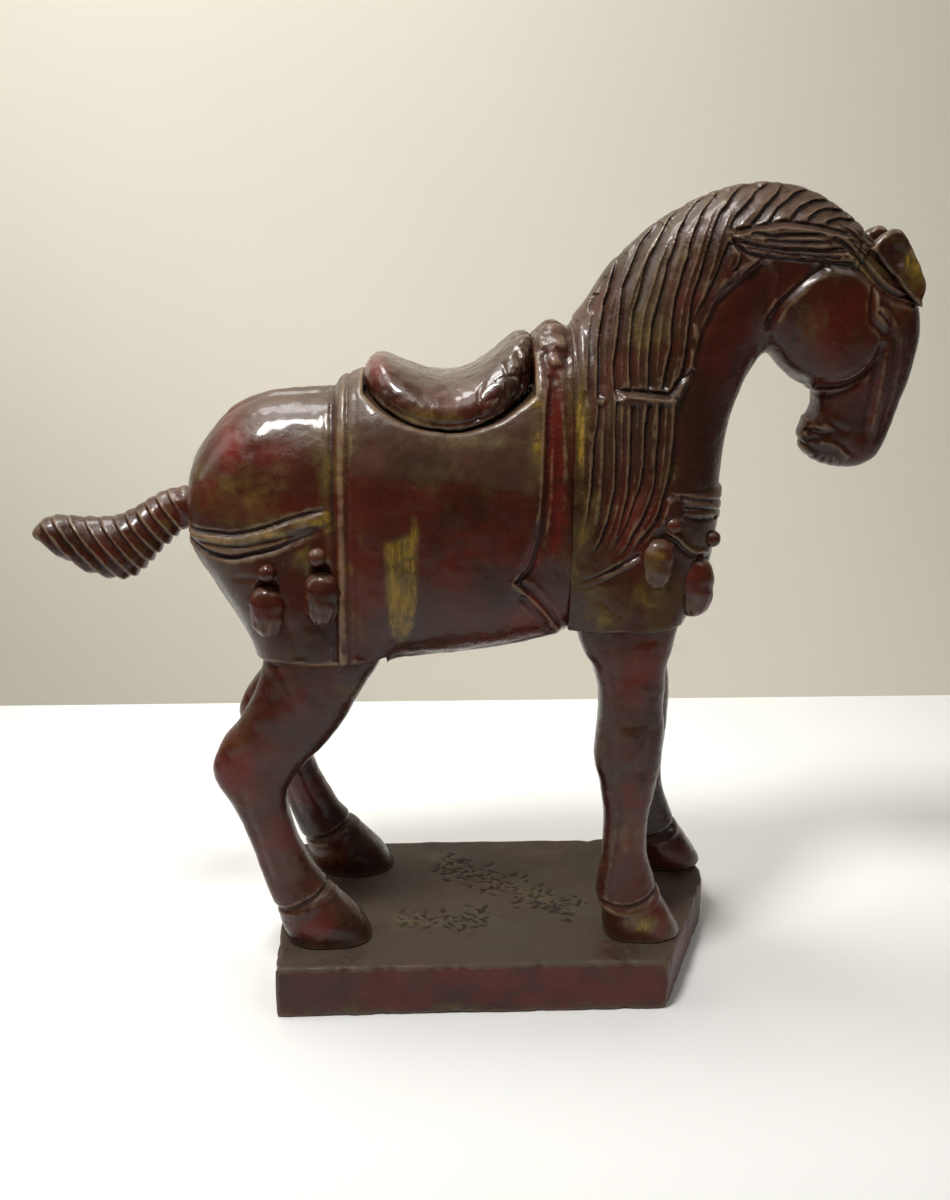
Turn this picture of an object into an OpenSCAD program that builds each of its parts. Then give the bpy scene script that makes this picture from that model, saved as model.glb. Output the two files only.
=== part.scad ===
// Carved wooden horse on a slab base, in millimetres.
// Frame: origin at the middle of the base's underside, +X towards the head, +Z up.
// The horse's right side faces -Y. Its carved blocks are lofts: rings through hand-set stations.

/* [Base] */
// Thickness of the slab
base_t = 25; // [22:0.5:25]
// Length of the slab
base_l = 200; // [196:1:210]
// Width of the slab
base_w = 105; // [102:1:112]
// Length cut off the front corner along the slab
corner_l = 29; // [10:1:35]
// Width cut off the front corner across the slab
corner_w = 67.5; // [30:0.5:70]

/* [Joints] */
// Radius of the dowels between legs and body
leg_dowel_r = 4; // [3:0.25:4.5]
// Length of the dowels between legs and body
leg_dowel_l = 24; // [16:1:28]
// Radius of the pegs under the hoofs
hoof_peg_r = 3; // [2:0.25:4]
// Radius of the dowels between neck and barrel
neck_dowel_r = 5; // [4:0.25:6]
// Radius of the pegs under the saddle
saddle_peg_r = 2.5; // [2:0.25:3]
// Radius of the tail's round tenon
tenon_r = 5; // [4:0.25:6]
// Length of the tail's round tenon
tenon_l = 24; // [18:1:26]
// Radial clearance round the tenon
tenon_gap = 0.05; // [0.02:0.01:0.1]
// Radial glue gap round dowels and pegs
glue_gap = 0.05; // [0:0.01:0.1]

/* [Harness] */
// Radius of the harness beads
bead_r = 3.7; // [3:0.1:4]
// Largest radius of a tassel
tassel_r = 7.2; // [6:0.1:7.5]

/* [Hidden] */

mid_y = 3.5;          // the horse's own middle plane
hoof_z = 25;          // top of the slab, where the hoofs stand
hind_z = 158;         // glue plane of the hind legs
fore_z = 170;         // glue plane of the forelegs
neck_x = 24;          // glue plane between barrel and neck block
seat_r = 48;          // radius of the round seat cut for the saddle
seat_x = -25;
seat_z = 300.5;
root_z = 214;         // height of the tail's tenon
root_x = -128.5;      // floor of the shallow socket round the tail root

dark = [0.30, 0.11, 0.08];
red = [0.36, 0.12, 0.09];
brown = [0.33, 0.17, 0.12];
ochre = [0.45, 0.33, 0.14];

// ---- loft: each station is [ax, az, bx, bz, half width, taper, exponent, y of its middle] ----
function cr(a, b, c, d, t) = 0.5 * (2*b + (c - a)*t + (2*a - 5*b + 4*c - d)*t*t + (3*b - a - 3*c + d)*t*t*t);
function fill(s, k) = let(n = len(s)) concat(
    [for (i = [0:n-2]) for (j = [0:k-1]) cr(s[max(i-1, 0)], s[i], s[i+1], s[min(i+2, n-1)], j/k)],
    [s[n-1]]);
function pw(v, e) = sign(v) * pow(abs(v), e);
function ring(s, m) = let(cx = (s[0]+s[2])/2, cz = (s[1]+s[3])/2, ux = (s[0]-s[2])/2, uz = (s[1]-s[3])/2)
    [for (i = [0:m-1]) let(a = 360*(i+0.5)/m, c = pw(cos(a), 2/s[6]), q = pw(sin(a), 2/s[6]))
        [cx + ux*c, s[7] + s[4]*q*(1 + s[5]*c), cz + uz*c]];
// a loft whose rings advance towards the head is turned round first, so that its faces look outwards
module loft(stations, k, m, turned = false) {
    rows = turned ? [for (r = fill(stations, k)) [r[2], r[3], r[0], r[1], r[4], -r[5], r[6], r[7]]] : fill(stations, k);
    n = len(rows);
    pts = [for (s = rows) each ring(s, m)];
    sides = [for (i = [0:n-2]) for (j = [0:m-1]) let(j2 = (j+1) % m)
        each [[i*m+j, (i+1)*m+j, (i+1)*m+j2], [i*m+j, (i+1)*m+j2, i*m+j2]]];
    polyhedron(points = pts, faces = concat(sides, [[for (j = [0:m-1]) j]], [[for (j = [m-1:-1:0]) (n-1)*m+j]]));
}
// a leg's station, [back x, front x, z, half width, y], moved by dx at the hoof and by tx at its top
function leg_row(r, top, tx, dx, flip) = let(t = (top - r[2])/(top - hoof_z), d = tx + (dx - tx)*t)
    [r[0]+d, r[2], r[1]+d, r[2], r[3], 0, 2.4, flip ? 2*mid_y - r[4] : r[4]];

// ---- stations ----
// rump, barrel and withers: rings in planes across the body
torso_st = [
    [-130.6, 222, -130.6, 207, 10, 0, 2.2, mid_y],
    [-129.6, 232, -129.6, 198, 20, 0, 2.3, mid_y],
    [-127, 238.5, -127, 193.5, 27, 0, 2.4, mid_y],
    [-122, 246, -122, 186, 31, -0.05, 2.5, mid_y],
    [-114, 254.5, -114, 173, 34, -0.08, 2.6, mid_y],
    [-106, 259.3, -106, 158, 35.7, -0.1, 2.7, mid_y],
    [-98, 261.8, -98, 142, 36.6, -0.1, 2.8, mid_y],
    [-88, 263, -88, 137, 37, -0.12, 2.8, mid_y],
    [-72, 264.5, -72, 138, 38, -0.1, 2.8, mid_y],
    [-60, 270, -60, 146, 39.5, -0.08, 2.8, mid_y],
    [-46, 272, -46, 152, 40, -0.06, 2.8, mid_y],
    [-28, 270, -28, 154, 40, -0.06, 2.7, mid_y],
    [-10, 272, -10, 156, 39.5, -0.08, 2.7, mid_y],
    [4, 280, 4, 158, 38.5, -0.14, 2.6, mid_y],
    [15, 288, 15, 160, 37.5, -0.2, 2.5, mid_y],
    [20, 289, 20, 161, 37, -0.22, 2.5, mid_y],
    [24, 288.5, 24, 162, 36, -0.22, 2.5, mid_y]];
// chest, neck, crest, head: rings fan from the withers round the chest, over the crest and down the face
neck_st = [
    [24, 288.5, 24, 154, 36, -0.22, 2.5, mid_y],
    [25, 290, 46, 146, 35, -0.2, 2.7, mid_y],
    [26, 291.5, 66, 150, 33, -0.18, 2.7, mid_y],
    [27.5, 293.5, 78, 166, 30, -0.18, 2.6, mid_y],
    [30, 297, 86, 190, 27, -0.18, 2.5, 3],
    [34, 303.5, 89, 212, 24.5, -0.15, 2.4, 2.5],
    [40, 312.5, 89.5, 232, 22.5, -0.12, 2.3, 2.5],
    [48, 320.5, 91.5, 250, 21, -0.08, 2.3, 2.5],
    [58, 329, 96, 265, 19.5, -0.05, 2.3, 2.5],
    [70, 336, 100.5, 276, 18.5, 0, 2.3, 2.8],
    [84, 341.7, 104, 278, 17.5, 0, 2.3, 3],
    [101, 344, 107.5, 276.5, 17, 0, 2.3, mid_y],
    [117, 341, 111, 272, 16.5, 0, 2.3, mid_y],
    [131, 333.5, 114.5, 268.5, 16.5, 0, 2.4, mid_y],
    [144, 323, 118.5, 266.5, 16.5, 0, 2.4, mid_y],
    [156, 311, 122.5, 265, 16.5, 0, 2.4, mid_y],
    [164, 300, 125.2, 261.5, 15.5, 0.05, 2.4, mid_y],
    [166.8, 288, 125.5, 255.5, 14, 0.05, 2.4, mid_y],
    [165.5, 273, 123.5, 250, 12.5, 0.05, 2.4, mid_y],
    [162, 257.5, 121.3, 245.5, 11.3, 0, 2.4, mid_y],
    [158.5, 245, 121.8, 241, 10.5, 0, 2.5, mid_y],
    [155, 236.5, 124, 237.5, 9.5, 0, 2.5, mid_y],
    [150, 232.5, 129, 233.8, 7, 0, 2.5, mid_y],
    [145, 231, 134, 232, 4, 0, 2.5, mid_y]];
// tail: rings along the tail, first at its root
tail_st = [
    [-128.9, 222, -128.9, 206, 7.5, 0, 2.2, mid_y],
    [-134, 223, -134, 204.5, 8, 0, 2.2, mid_y],
    [-141, 222.5, -139, 200.5, 8.5, 0, 2.2, mid_y],
    [-148.5, 219, -145, 195, 9, 0, 2.2, mid_y],
    [-155.5, 214.5, -150.5, 189, 9.5, 0, 2.2, mid_y],
    [-162, 211.8, -157.5, 183.5, 9.5, 0, 2.2, mid_y],
    [-169, 210.7, -167, 183.5, 9.3, 0, 2.2, mid_y],
    [-177, 211, -176, 186.5, 8.8, 0, 2.2, mid_y],
    [-185, 211.7, -184.5, 191.5, 8, 0, 2.2, mid_y],
    [-191.5, 210.8, -192, 196.8, 6.5, 0, 2.2, mid_y],
    [-196.5, 207, -197, 199.5, 4.5, 0, 2.2, mid_y],
    [-198.8, 204.5, -199, 202, 2, 0, 2.2, mid_y]];
// saddle: rings in planes across the body, trimmed below by the round seat
saddle_st = [
    [-58, 273, -58, 246, 12, 0, 2.6, mid_y],
    [-55.5, 276.5, -55.5, 243, 18, 0, 2.6, mid_y],
    [-51, 278, -51, 240, 24, 0, 2.6, mid_y],
    [-45, 275.5, -45, 238, 28.5, 0, 2.6, mid_y],
    [-36, 272, -36, 236, 32, 0, 2.6, mid_y],
    [-26, 270, -26, 236, 33, 0, 2.6, mid_y],
    [-16, 272, -16, 236, 32, 0, 2.6, mid_y],
    [-7, 277.5, -7, 238, 29, 0, 2.6, mid_y],
    [0, 283, 0, 240, 24.5, 0, 2.6, mid_y],
    [5, 285, 5, 243, 18.5, 0, 2.6, mid_y],
    [8.5, 281.5, 8.5, 246, 12, 0, 2.6, mid_y]];
// legs: [back x, front x, z, half width, y]
hind_st = [
    [-101, -53, 158, 13.5, -22], [-103, -57.5, 148, 13, -22.5], [-107, -63.5, 138, 12.5, -23],
    [-113, -69.5, 128, 11.5, -23.5], [-120.5, -76.5, 119, 10.5, -24], [-124.5, -86, 109, 9.5, -24.5],
    [-123, -91.5, 101, 9, -25], [-118.5, -93.3, 93, 8.5, -25], [-113.5, -92, 82, 8, -25.2],
    [-109, -87.5, 69, 8, -25.4], [-106, -81.5, 57, 8.5, -25.6], [-103, -73.5, 47, 10, -25.8],
    [-99.5, -67, 39.5, 11.5, -26], [-98.8, -63, 34.5, 12.5, -26], [-97, -60, 29, 13, -26],
    [-95.5, -58.5, 25, 13.3, -26]];
fore_st = [
    [28.5, 71, 170, 12.5, -21], [31, 68.8, 160, 12, -21.5], [35.5, 67, 152, 11.5, -22],
    [38, 66.5, 143, 11, -22.5], [38.8, 66.5, 133, 10.5, -23], [38.4, 67.2, 122, 10, -23.4],
    [38, 66.8, 111, 9.8, -23.8], [40.5, 65.3, 98, 9, -24.2], [43, 63, 84, 8.3, -24.6],
    [43.4, 62.2, 72, 8.3, -25], [42.8, 63.5, 61, 8.8, -25.3], [41.6, 67, 50, 10, -25.6],
    [41.4, 70.5, 42, 11.3, -25.9], [44, 74, 36, 12.5, -26], [44.8, 77.5, 30, 13, -26],
    [45.2, 79.5, 25, 13.3, -26]];

// dowel places: [x, y]
leg_hind = [[-80, -22], [-80, 29]];
leg_fore = [[50, -21], [57, 28]];
hoofs = [[-78, -26], [-70, 33], [61, -26], [81.5, 33]];
neck_pins = [205, 250];
saddle_pins = [-38, -12];

// harness places on the right side: [x, y of its seat, z]
rump_tassel_at = [[-97.5, -31.3, 180.5], [-75.5, -33.3, 186.5]];
rump_bead_at = [[-97, -31.8, 197.5], [-77, -33.8, 204.5]];
chest_tassel_at = [[59.5, -25.5, 198], [79, -16.5, 185.5]];
chest_bead_at = [[65.5, -22.5, 213.5], [84, -13.5, 205]];

module both_sides() {
    children();
    translate([0, 2*mid_y, 0]) mirror([0, 1, 0]) children();
}
module upright(p, r, z0, z1) { translate([p[0], p[1], z0]) cylinder(r = r, h = z1 - z0, $fn = 48); }
module along_x(y, z, r, x0, x1) { translate([x0, y, z]) rotate([0, 90, 0]) cylinder(r = r, h = x1 - x0, $fn = 48); }
// a round hole or pin across the body that starts at p and runs outwards (-Y)
module outward(p, r, h) { translate(p) rotate([90, 0, 0]) cylinder(r = r, h = h, $fn = 48); }
// flat that a tassel is glued on: two overlapping rounds, as tall as the tassel
module tassel_flat(p, h) { for (dz = [-3.5, 3.5]) outward([p[0], p[1], p[2] + dz], tassel_r + 1, h); }
module below(z, x0, x1) { translate([x0, -80, z - 100]) cube([x1 - x0, 160, 100]); }
module seat_disc(r) { translate([seat_x, 80, seat_z]) rotate([90, 0, 0]) cylinder(r = r, h = 160, $fn = 180); }
// slanted seat of the ears on the poll: x' runs down the brow, z' stands out of it
module at_poll() { translate([152.5, 0, 311.5]) rotate([0, 45, 0]) children(); }
ear_y = -6;
ear_floor = -2.6;

// ---- parts ----
module base() {
    color(dark) difference() {
        linear_extrude(height = base_t) polygon([[-base_l/2, -base_w/2], [base_l/2 - corner_l, -base_w/2],
            [base_l/2, -base_w/2 + corner_w], [base_l/2, base_w/2], [-base_l/2, base_w/2]]);
        for (p = hoofs) upright(p, hoof_peg_r + glue_gap, hoof_z - 14, hoof_z + 1);
    }
}
module torso() {
    color(brown) difference() {
        loft(torso_st, 3, 36, true);
        below(hind_z, -140, -50);
        intersection() { seat_disc(seat_r + glue_gap); translate([-58.3, -80, 200]) cube([67.1, 160, 120]); }
        for (p = leg_hind) upright(p, leg_dowel_r + glue_gap, hind_z - 5, hind_z + leg_dowel_l/2);
        for (z = neck_pins) along_x(mid_y, z, neck_dowel_r + glue_gap, neck_x - 14, neck_x + 5);
        for (x = saddle_pins) upright([x, mid_y], saddle_peg_r + glue_gap, 243, 262);
        // socket of the tail: a shallow round recess and the tenon's bore
        along_x(mid_y, root_z, 10.5, -140, root_x);
        along_x(mid_y, root_z, tenon_r + tenon_gap, -130, root_x + tenon_l + 1);
        // flats and pin holes of the harness ornaments
        both_sides() {
            for (p = rump_tassel_at) tassel_flat(p, 20);
            for (p = rump_bead_at) { outward(p, bead_r + 0.4, 20); outward([p[0], p[1] + 6, p[2]], 1.05, 10); }
        }
    }
}
module neck_and_head() {
    color(red) difference() {
        loft(neck_st, 2, 34, true);
        below(fore_z, 0, 120);
        translate([neck_x - 60, -80, 100]) cube([60, 160, 260]);
        for (p = leg_fore) upright(p, leg_dowel_r + glue_gap, fore_z - 5, fore_z + leg_dowel_l/2);
        for (z = neck_pins) along_x(mid_y, z, neck_dowel_r + glue_gap, neck_x - 5, neck_x + 14);
        both_sides() {
            at_poll() translate([-16, ear_y - 4, ear_floor]) cube([32, 8, 20]);
            at_poll() translate([0, ear_y, ear_floor - 7]) cylinder(r = 2.05, h = 10, $fn = 32);
            for (p = chest_tassel_at) tassel_flat(p, 30);
            for (p = chest_bead_at) { outward(p, bead_r + 0.4, 30); outward([p[0], p[1] + 6, p[2]], 1.05, 10); }
        }
    }
}
// an ear is a leaf, broad and pointed at its upper end, hollowed on its outer side, with a round tenon
module ear() {
    at_poll() {
        difference() {
            translate([0, ear_y + 3.9, 0]) rotate([90, 0, 0]) linear_extrude(height = 7.8) polygon([
                [-15.2, ear_floor], [-15.8, 2], [-15, 7], [-13.4, 10], [-10.5, 11], [-6, 10.6], [-1, 9.5], [5, 7.6],
                [10, 5.8], [12.8, 3.4], [14.6, 0.3], [15, ear_floor]]);
            translate([-4, ear_y - 9, 4.8]) sphere(r = 8.5, $fn = 48);
        }
        translate([0, ear_y, ear_floor - 6.5]) cylinder(r = 2, h = 7, $fn = 32);
    }
}
module ear_right() { color(ochre) ear(); }
module ear_left() { color(ochre) translate([0, 2*mid_y, 0]) mirror([0, 1, 0]) ear(); }
module saddle() {
    color(red) difference() {
        intersection() {
            loft(saddle_st, 2, 28, true);
            seat_disc(seat_r);
        }
        for (x = saddle_pins) upright([x, mid_y], saddle_peg_r + glue_gap, 240, 264.5);
    }
}
module tail() {
    color(dark) {
        loft(tail_st, 2, 20);
        along_x(mid_y, root_z, tenon_r, root_x - 1.4, root_x + tenon_l);
    }
}
module leg(st, top, p, q, tx, dx, flip) {
    difference() {
        loft([for (r = st) leg_row(r, top, tx, dx, flip)], 2, 20);
        upright(p, leg_dowel_r + glue_gap, top - leg_dowel_l/2, top + 5);
        upright(q, hoof_peg_r + glue_gap, hoof_z - 5, hoof_z + 12);
    }
}
module foreleg_right() { color(red) leg(fore_st, fore_z, leg_fore[0], hoofs[2], 0, 0, false); }
module foreleg_left() { color(dark) leg(fore_st, fore_z, leg_fore[1], hoofs[3], 8, 21.5, true); }
module hindleg_right() { color(red) leg(hind_st, hind_z, leg_hind[0], hoofs[0], 0, 0, false); }
module hindleg_left() { color(dark) leg(hind_st, hind_z, leg_hind[1], hoofs[1], 2, 9, true); }
module leg_dowels() {
    color("burlywood") {
        for (p = leg_hind) upright(p, leg_dowel_r, hind_z - leg_dowel_l/2 + 0.5, hind_z + leg_dowel_l/2 - 0.5);
        for (p = leg_fore) upright(p, leg_dowel_r, fore_z - leg_dowel_l/2 + 0.5, fore_z + leg_dowel_l/2 - 0.5);
    }
}
module hoof_pegs() { color("burlywood") for (p = hoofs) upright(p, hoof_peg_r, hoof_z - 13.5, hoof_z + 11.5); }
module neck_dowels() { color("burlywood") for (z = neck_pins) along_x(mid_y, z, neck_dowel_r, neck_x - 13.5, neck_x + 13.5); }
module saddle_pegs() { color("burlywood") for (x = saddle_pins) upright([x, mid_y], saddle_peg_r, 243.5, 264); }
// a turned bead with its pin
module bead(p) {
    translate([p[0], p[1] - 2.2, p[2]]) intersection() {
        sphere(r = bead_r, $fn = 40);
        translate([-10, -20 + 2.2, -10]) cube([20, 20, 20]);
    }
    outward([p[0], p[1] + 5.5, p[2]], 1, 6);
}
// a tassel: round cap, full middle and a tapered skirt, flat at its back
module tassel(p, r, h) {
    translate(p) intersection() {
        rotate_extrude($fn = 48) polygon([[0, h/2], [r*0.45, h/2 - 0.3], [r*0.8, h/2 - 2], [r*0.97, h/2 - 5],
            [r, h/2 - 9], [r*0.97, -1], [r*0.82, -h/4], [r*0.55, -h/2 + 2.5], [r*0.28, -h/2], [0, -h/2]]);
        translate([-20, -20, -20]) cube([40, 20, 40]);
    }
}
module rump_beads() { color(ochre) both_sides() for (p = rump_bead_at) bead(p); }
module chest_beads() { color(ochre) both_sides() for (p = chest_bead_at) bead(p); }
module rump_tassels() { color(ochre) both_sides() for (p = rump_tassel_at) tassel(p, tassel_r, 21.5); }
module chest_tassels() { color(ochre) both_sides() for (p = chest_tassel_at) tassel(p, tassel_r, 22); }

base();
torso();
neck_and_head();
ear_right();
ear_left();
saddle();
tail();
foreleg_right();
foreleg_left();
hindleg_right();
hindleg_left();
leg_dowels();
hoof_pegs();
neck_dowels();
saddle_pegs();
rump_beads();
chest_beads();
rump_tassels();
chest_tassels();
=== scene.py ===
import math

import bmesh
import bpy
import numpy as np
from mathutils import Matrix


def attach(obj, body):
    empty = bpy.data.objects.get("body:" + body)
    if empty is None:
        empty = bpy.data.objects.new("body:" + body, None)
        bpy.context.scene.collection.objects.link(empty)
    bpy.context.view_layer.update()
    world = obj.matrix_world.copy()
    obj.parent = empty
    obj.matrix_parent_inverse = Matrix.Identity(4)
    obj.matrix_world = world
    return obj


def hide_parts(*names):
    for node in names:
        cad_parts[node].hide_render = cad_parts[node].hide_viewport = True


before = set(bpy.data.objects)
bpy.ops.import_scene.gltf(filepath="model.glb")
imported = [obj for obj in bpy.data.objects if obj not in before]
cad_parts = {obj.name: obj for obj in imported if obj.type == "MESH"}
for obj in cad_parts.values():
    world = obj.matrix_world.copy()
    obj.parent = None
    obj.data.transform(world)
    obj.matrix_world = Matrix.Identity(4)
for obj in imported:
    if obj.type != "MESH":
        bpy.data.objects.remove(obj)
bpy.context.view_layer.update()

import openvdb
from mathutils import Matrix, Vector

# Looks of the carved wooden horse. All shaping is done in millimetres, in the CAD's frame, and turned into metres
# at the end: lofts become distance fields, the fields are blended and carved along given lines, then meshed.
MM = 0.001
MID = 3.5
COARSE = 1.0

# ---------------------------------------------------------------- stations (the same shapes as the CAD lofts)
TORSO = [
    [-130.6, 222, -130.6, 207, 10, 0, 2.2, MID], [-129.6, 232, -129.6, 198, 20, 0, 2.3, MID],
    [-127, 238.5, -127, 193.5, 27, 0, 2.4, MID], [-122, 246, -122, 186, 31, -0.05, 2.5, MID],
    [-114, 254.5, -114, 173, 34, -0.08, 2.6, MID], [-106, 259.3, -106, 158, 35.7, -0.1, 2.7, MID],
    [-98, 261.8, -98, 142, 36.6, -0.1, 2.8, MID], [-88, 263, -88, 137, 37, -0.12, 2.8, MID],
    [-72, 264.5, -72, 138, 38, -0.1, 2.8, MID], [-60, 270, -60, 146, 39.5, -0.08, 2.8, MID],
    [-46, 272, -46, 152, 40, -0.06, 2.8, MID], [-28, 270, -28, 154, 40, -0.06, 2.7, MID],
    [-10, 272, -10, 156, 39.5, -0.08, 2.7, MID], [4, 280, 4, 158, 38.5, -0.14, 2.6, MID],
    [15, 288, 15, 160, 37.5, -0.2, 2.5, MID], [20, 289, 20, 161, 37, -0.22, 2.5, MID],
    [24, 288.5, 24, 162, 36, -0.22, 2.5, MID], [34, 291, 34, 163, 34, -0.22, 2.5, MID]]
NECK = [
    [14, 287, 4, 156, 37, -0.22, 2.5, MID],
    [24, 288.5, 24, 154, 36, -0.22, 2.5, MID], [25, 290, 46, 146, 35, -0.2, 2.7, MID],
    [26, 291.5, 66, 150, 33, -0.18, 2.7, MID], [27.5, 293.5, 78, 166, 30, -0.18, 2.6, MID],
    [30, 297, 86, 190, 27, -0.18, 2.5, 3], [34, 303.5, 89, 212, 24.5, -0.15, 2.4, 2.5],
    [40, 312.5, 89.5, 232, 22.5, -0.12, 2.3, 2.5], [48, 320.5, 91.5, 250, 21, -0.08, 2.3, 2.5],
    [58, 329, 96, 265, 19.5, -0.05, 2.3, 2.5], [70, 336, 100.5, 276, 18.5, 0, 2.3, 2.8],
    [84, 341.7, 104, 278, 17.5, 0, 2.3, 3], [101, 344, 107.5, 276.5, 17, 0, 2.3, MID],
    [117, 341, 111, 272, 16.5, 0, 2.3, MID], [131, 333.5, 114.5, 268.5, 16.5, 0, 2.4, MID],
    [144, 323, 118.5, 266.5, 16.5, 0, 2.4, MID], [156, 311, 122.5, 265, 16.5, 0, 2.4, MID],
    [164, 300, 125.2, 261.5, 15.5, 0.05, 2.4, MID], [166.8, 288, 125.5, 255.5, 14, 0.05, 2.4, MID],
    [165.5, 273, 123.5, 250, 12.5, 0.05, 2.4, MID], [162, 257.5, 121.3, 245.5, 11.3, 0, 2.4, MID],
    [158.5, 245, 121.8, 241, 10.5, 0, 2.5, MID], [155, 236.5, 124, 237.5, 9.5, 0, 2.5, MID],
    [150, 232.5, 129, 233.8, 7, 0, 2.5, MID], [145, 231, 134, 232, 4, 0, 2.5, MID]]
TAIL = [
    [-128.9, 222, -128.9, 206, 7.5, 0, 2.2, MID], [-134, 223, -134, 204.5, 8, 0, 2.2, MID],
    [-141, 222.5, -139, 200.5, 8.5, 0, 2.2, MID], [-148.5, 219, -145, 195, 9, 0, 2.2, MID],
    [-155.5, 214.5, -150.5, 189, 9.5, 0, 2.2, MID], [-162, 211.8, -157.5, 183.5, 9.5, 0, 2.2, MID],
    [-169, 210.7, -167, 183.5, 9.3, 0, 2.2, MID], [-177, 211, -176, 186.5, 8.8, 0, 2.2, MID],
    [-185, 211.7, -184.5, 191.5, 8, 0, 2.2, MID], [-191.5, 210.8, -192, 196.8, 6.5, 0, 2.2, MID],
    [-196.5, 207, -197, 199.5, 4.5, 0, 2.2, MID], [-198.8, 204.5, -199, 202, 2, 0, 2.2, MID]]
SADDLE = [
    [-58, 273, -58, 246, 12, 0, 2.6, MID], [-55.5, 276.5, -55.5, 243, 18, 0, 2.6, MID],
    [-51, 278, -51, 240, 24, 0, 2.6, MID], [-45, 275.5, -45, 238, 28.5, 0, 2.6, MID],
    [-36, 272, -36, 236, 32, 0, 2.6, MID], [-26, 270, -26, 236, 33, 0, 2.6, MID],
    [-16, 272, -16, 236, 32, 0, 2.6, MID], [-7, 277.5, -7, 238, 29, 0, 2.6, MID],
    [0, 283, 0, 240, 24.5, 0, 2.6, MID], [5, 285, 5, 243, 18.5, 0, 2.6, MID], [8.5, 281.5, 8.5, 246, 12, 0, 2.6, MID]]
HIND = [
    [-101, -53, 158, 13.5, -22], [-103, -57.5, 148, 13, -22.5], [-107, -63.5, 138, 12.5, -23],
    [-113, -69.5, 128, 11.5, -23.5], [-120.5, -76.5, 119, 10.5, -24], [-124.5, -86, 109, 9.5, -24.5],
    [-123, -91.5, 101, 9, -25], [-118.5, -93.3, 93, 8.5, -25], [-113.5, -92, 82, 8, -25.2],
    [-109, -87.5, 69, 8, -25.4], [-106, -81.5, 57, 8.5, -25.6], [-103, -73.5, 47, 10, -25.8],
    [-99.5, -67, 39.5, 11.5, -26], [-98.8, -63, 34.5, 12.5, -26], [-97, -60, 29, 13, -26], [-95.5, -58.5, 25, 13.3, -26]]
FORE = [
    [28.5, 71, 170, 12.5, -21], [31, 68.8, 160, 12, -21.5], [35.5, 67, 152, 11.5, -22],
    [38, 66.5, 143, 11, -22.5], [38.8, 66.5, 133, 10.5, -23], [38.4, 67.2, 122, 10, -23.4],
    [38, 66.8, 111, 9.8, -23.8], [40.5, 65.3, 98, 9, -24.2], [43, 63, 84, 8.3, -24.6],
    [43.4, 62.2, 72, 8.3, -25], [42.8, 63.5, 61, 8.8, -25.3], [41.6, 67, 50, 10, -25.6],
    [41.4, 70.5, 42, 11.3, -25.9], [44, 74, 36, 12.5, -26], [44.8, 77.5, 30, 13, -26], [45.2, 79.5, 25, 13.3, -26]]
# how the legs run on inside the body, so that haunch and shoulder swell over the glue seams
HIND_IN = [[-98, -70, 206, 4, -17], [-102, -63, 196, 8, -19], [-103.5, -57, 182, 11.5, -20.5], [-102, -54, 168, 13, -21.5]]
FORE_IN = [[42, 58, 208, 4, -16], [36, 64, 198, 7.5, -18], [31, 69, 186, 10.5, -19.5], [29, 71, 177, 12, -20.5]]

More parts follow.
